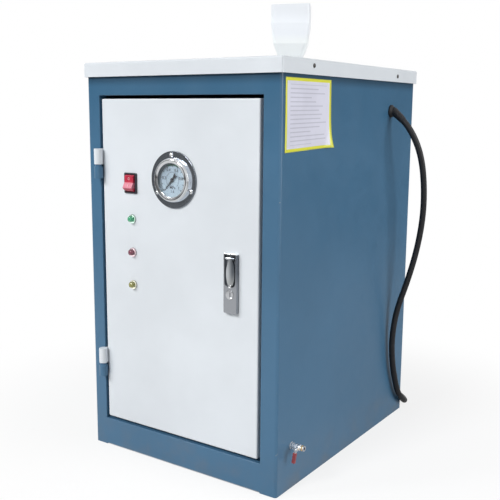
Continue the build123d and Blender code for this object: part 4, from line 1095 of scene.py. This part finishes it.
class STEAM_OT_card(bpy.types.Operator):
    """Sticks the blank card on the right panel"""

    bl_idname = "steam.card"
    bl_label = "Blank card"

    def execute(self, context):
        size = sizes()
        start_y, start_z = -0.2030, 0.4770
        slant = 0.0040 / size.card_height
        rows, columns = 40, 48
        up, across = crossed(np.linspace(0.0, 1.0, rows), np.linspace(0.0, 1.0, columns))
        gap, edge_curl, ripple, corner_curl = 0.00025, 0.0030, 0.00018, 0.0050
        lift = gap + edge_curl * np.clip((across - 0.86) / 0.14, 0.0, 1.0) ** 2 * (0.35 + 0.65 * (1.0 - up) ** 2)
        lift = lift + ripple * np.sin(9.0 * across + 3.0 * up) ** 2
        lift = lift + corner_curl * np.clip((across - 0.80) / 0.20, 0.0, 1.0) ** 2 * (1.0 - up) ** 6
        skew = slant * across
        points = np.stack([size.card_width * across, size.card_height * (up + skew * (1.0 - up)), lift], -1)
        paper = lay(points, facing("right", HALF_WIDTH, start_y, start_z)), grid_faces(rows, columns)
        card = make_piece("blank_card", [paper], "card", "cabinet")
        flat = card.data.uv_layers.new(name="flat")
        loops = np.zeros(len(card.data.loops), int)
        card.data.loops.foreach_get("vertex_index", loops)
        spots = vertices_of(card.data)[loops]
        over = (spots[:, 1] - start_y) / size.card_width
        rise = slant * over
        shares = np.stack([over, ((spots[:, 2] - start_z) / size.card_height - rise) / (1.0 - rise)], -1)
        flat.data.foreach_set("uv", shares.ravel())
        thickness = card.modifiers.new("thickness", "SOLIDIFY")
        thickness.thickness = 0.00018
        thickness.offset = 1.0
        return {"FINISHED"}


class STEAM_OT_boiler(bpy.types.Operator):
    """Adds the weld beads of the boiler and the threads of its outlets"""

    bl_idname = "steam.boiler"
    bl_label = "Boiler"

    def execute(self, context):
        low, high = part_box("boiler_shell")
        axis_x = (low.x + high.x) / 2
        radius = (high.x - low.x) / 2
        axis_y = high.y - radius
        beads = []
        seam, bead = 0.034, 0.0026
        for height in (low.z + seam, high.z - seam):
            turn, around = crossed(full_turn(360), full_turn(10))
            swell = bead * (1.0 + 0.14 * np.sin(72.0 * turn) + 0.08 * np.sin(31.0 * turn + 1.0))
            ring = radius + swell * np.cos(around)
            points = polar(ring, turn, height + 1.5 * swell * np.sin(around)) + (axis_x, axis_y, 0.0)
            beads.append((points.reshape(-1, 3), grid_faces(360, 10, True, True)))
        make_piece("boiler_welds", beads, "boiler_steel", "cabinet", crease=80.0)
        outlet = node_middle("steam_outlet")
        steam_in, drain_in = 0.0195, 0.0048
        steam = facing("back", outlet.x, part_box("steam_outlet")[1].y - steam_in, outlet.z)
        nipple = node_middle("drain_nipple")
        drain = facing("right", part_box("drain_valve_body")[1].x - drain_in, nipple.y, nipple.z)
        threads = [self.thread(0.01048, 0.0190, 0.0018, steam), self.thread(0.0039, 0.0040, 0.0010, drain)]
        make_piece("outlet_threads", threads, "brass", "cabinet", crease=70.0)
        return {"FINISHED"}

    def thread(self, radius, length, pitch, place):
        """A thread: the radius swells by a triangle wave of height over pitch less angle, fading at both ends."""
        rows = int(8 * length / pitch)
        height, turn = crossed(np.linspace(0.0, length, rows), full_turn(48))
        wave = 1.0 - np.abs(2.0 * ((height / pitch - turn / (2.0 * np.pi)) % 1.0) - 1.0)
        ends = np.clip(np.minimum(height, length - height) / pitch, 0.0, 1.0)
        sunk = 0.0002
        swell = radius - sunk + ends * (sunk + 0.30 * pitch * wave)
        return lay(polar(swell, turn, height), place), grid_faces(rows, 48, closed_columns=True)


class STEAM_OT_stage(bpy.types.Operator):
    """Sets the pale floor, the white surroundings and the soft lamps"""

    bl_idname = "steam.stage"
    bl_label = "Stage"

    def execute(self, context):
        scene = context.scene
        settings = scene.steam_stage
        scene.view_settings.view_transform = "Standard"
        self.surroundings(scene, settings.sky)
        reach = 4.0
        corners = [(-reach, -reach, 0.0), (reach, -reach, 0.0), (reach, reach, 0.0), (-reach, reach, 0.0)]
        mesh = bpy.data.meshes.new("floor")
        mesh.from_pydata(corners, [], [(0, 1, 2, 3)])
        mesh.materials.append(self.floor_finish())
        floor = new_object("floor", mesh)
        middle = (0.0, 0.0, 0.30)
        self.lamp("key_lamp", (-0.8, -4.9, 3.9), middle, 1.4, settings.key)
        self.lamp("left_lamp", (-2.2, -2.7, 2.7), middle, 0.7, settings.left)
        self.lamp("side_lamp", (3.2, 0.8, 1.2), (0.1, 0.05, 0.30), 2.2, settings.side)
        return {"FINISHED"}

    def surroundings(self, scene, strength):
        """Light from all round: white to the camera and through glass, dark to metal where faces mirror the view."""
        world = bpy.data.worlds.new("surroundings")
        world.use_nodes = True
        scene.world = world
        world.node_tree.nodes.clear()
        sky = Nodes(world.node_tree)
        path = sky.add("LightPath").outputs
        way = sky.add("TexCoord").outputs["Generated"]
        plain = sky.most(path["Is Camera Ray"], path["Is Transmission Ray"])
        direct = sky.math("LESS_THAN", path["Diffuse Depth"], 0.5)
        shown = sky.times(sky.most(plain, path["Is Glossy Ray"]), direct)
        fade = sky.band(sky.math("ABSOLUTE", sky.along(way, MIRRORED_VIEW)), 0.70, 0.94, 0.95, 0.11)
        above = sky.band(sky.add("SeparateXYZ", {0: way}).outputs[2], 0.18, 0.45)
        white = sky.most(plain, sky.most(fade, above))
        light = sky.add("Background", {"Color": (0.98, 0.99, 1.0), "Strength": strength}).outputs[0]
        seen = sky.add("Background", {"Color": (1.0, 1.0, 1.0), "Strength": white}).outputs[0]
        mixed = sky.add("MixShader", {0: shown, 1: light, 2: seen}).outputs[0]
        sky.add("OutputWorld", {"Surface": mixed})

    def floor_finish(self):
        """Pale floor: mostly white to the camera, with enough of its own shading left to keep the shadow."""
        floor = Finish("pale_floor", {"Roughness": 0.9, "Specular IOR Level": 0.0})
        path = floor.add("LightPath").outputs
        direct = floor.math("LESS_THAN", path["Diffuse Depth"], 0.5)
        plain = floor.most(path["Is Camera Ray"], floor.times(path["Is Transmission Ray"], direct))
        floor.set({"Base Color": floor.blend(plain, (0.62, 0.62, 0.62), (0.98, 0.98, 0.98))})
        far = floor.along(floor.place, MIRRORED_VIEW)
        fall = floor.band(floor.math("ABSOLUTE", far), 1.25, 2.6, 1.0, 0.08)
        mirrored = floor.times(fall, floor.band(far, -0.4, 0.4, 1.0, 0.42))
        white = floor.add("Emission", {"Color": (1.0, 1.0, 1.0), "Strength": floor.most(plain, mirrored)}).outputs[0]
        away = floor.add("VectorMath", {0: floor.place}, operation="LENGTH").outputs["Value"]
        seen = floor.most(plain, path["Is Glossy Ray"])
        share = floor.times(seen, floor.band(away, 0.30, 0.70, 0.80, 1.0))
        mixed = floor.add("MixShader", {0: share, 1: floor.shader.outputs[0], 2: white}).outputs[0]
        floor.tree.links.new(mixed, floor.tree.nodes["Material Output"].inputs["Surface"])
        return floor.material

    def lamp(self, name, place, target, width, power):
        """A square soft lamp that faces a target."""
        data = bpy.data.lights.new(name, "AREA")
        data.size = width
        data.energy = power
        back = unit(np.array(place) - np.array(target))
        right = unit(np.cross((0.0, 0.0, 1.0), back))
        aim(new_object(name, data), right, np.cross(back, right), back, place)


STEPS = (
    STEAM_OT_camera, STEAM_OT_finishes, STEAM_OT_cable, STEAM_OT_gauge, STEAM_OT_switch, STEAM_OT_lock,
    STEAM_OT_fasteners, STEAM_OT_card, STEAM_OT_boiler, STEAM_OT_stage,
)
GROUPS = {"steam_paints": PaintColours, "steam_details": DetailSizes, "steam_stage": StageSettings}


class STEAM_PT_panel(bpy.types.Panel):
    """Lists the colours, the sizes and the steps"""

    bl_idname = "STEAM_PT_panel"
    bl_label = "Steam Generator"
    bl_space_type = "VIEW_3D"
    bl_region_type = "UI"
    bl_category = "Steam Generator"

    def draw(self, context):
        for name in GROUPS:
            group = getattr(context.scene, name)
            box = self.layout.box()
            for field in group.__annotations__:
                box.prop(group, field)
        for step in STEPS:
            self.layout.operator(step.bl_idname)


def register():
    for group in GROUPS.values():
        bpy.utils.register_class(group)
    for step in STEPS:
        bpy.utils.register_class(step)
    bpy.utils.register_class(STEAM_PT_panel)
    for name, group in GROUPS.items():
        setattr(bpy.types.Scene, name, bpy.props.PointerProperty(type=group))


def unregister():
    for name in GROUPS:
        delattr(bpy.types.Scene, name)
    bpy.utils.unregister_class(STEAM_PT_panel)
    for step in reversed(STEPS):
        bpy.utils.unregister_class(step)
    for group in reversed(list(GROUPS.values())):
        bpy.utils.unregister_class(group)


def main():
    register()
    for step in STEPS:
        group, call = step.bl_idname.split(".")
        getattr(getattr(bpy.ops, group), call)()


if __name__ == "__main__":
    main()
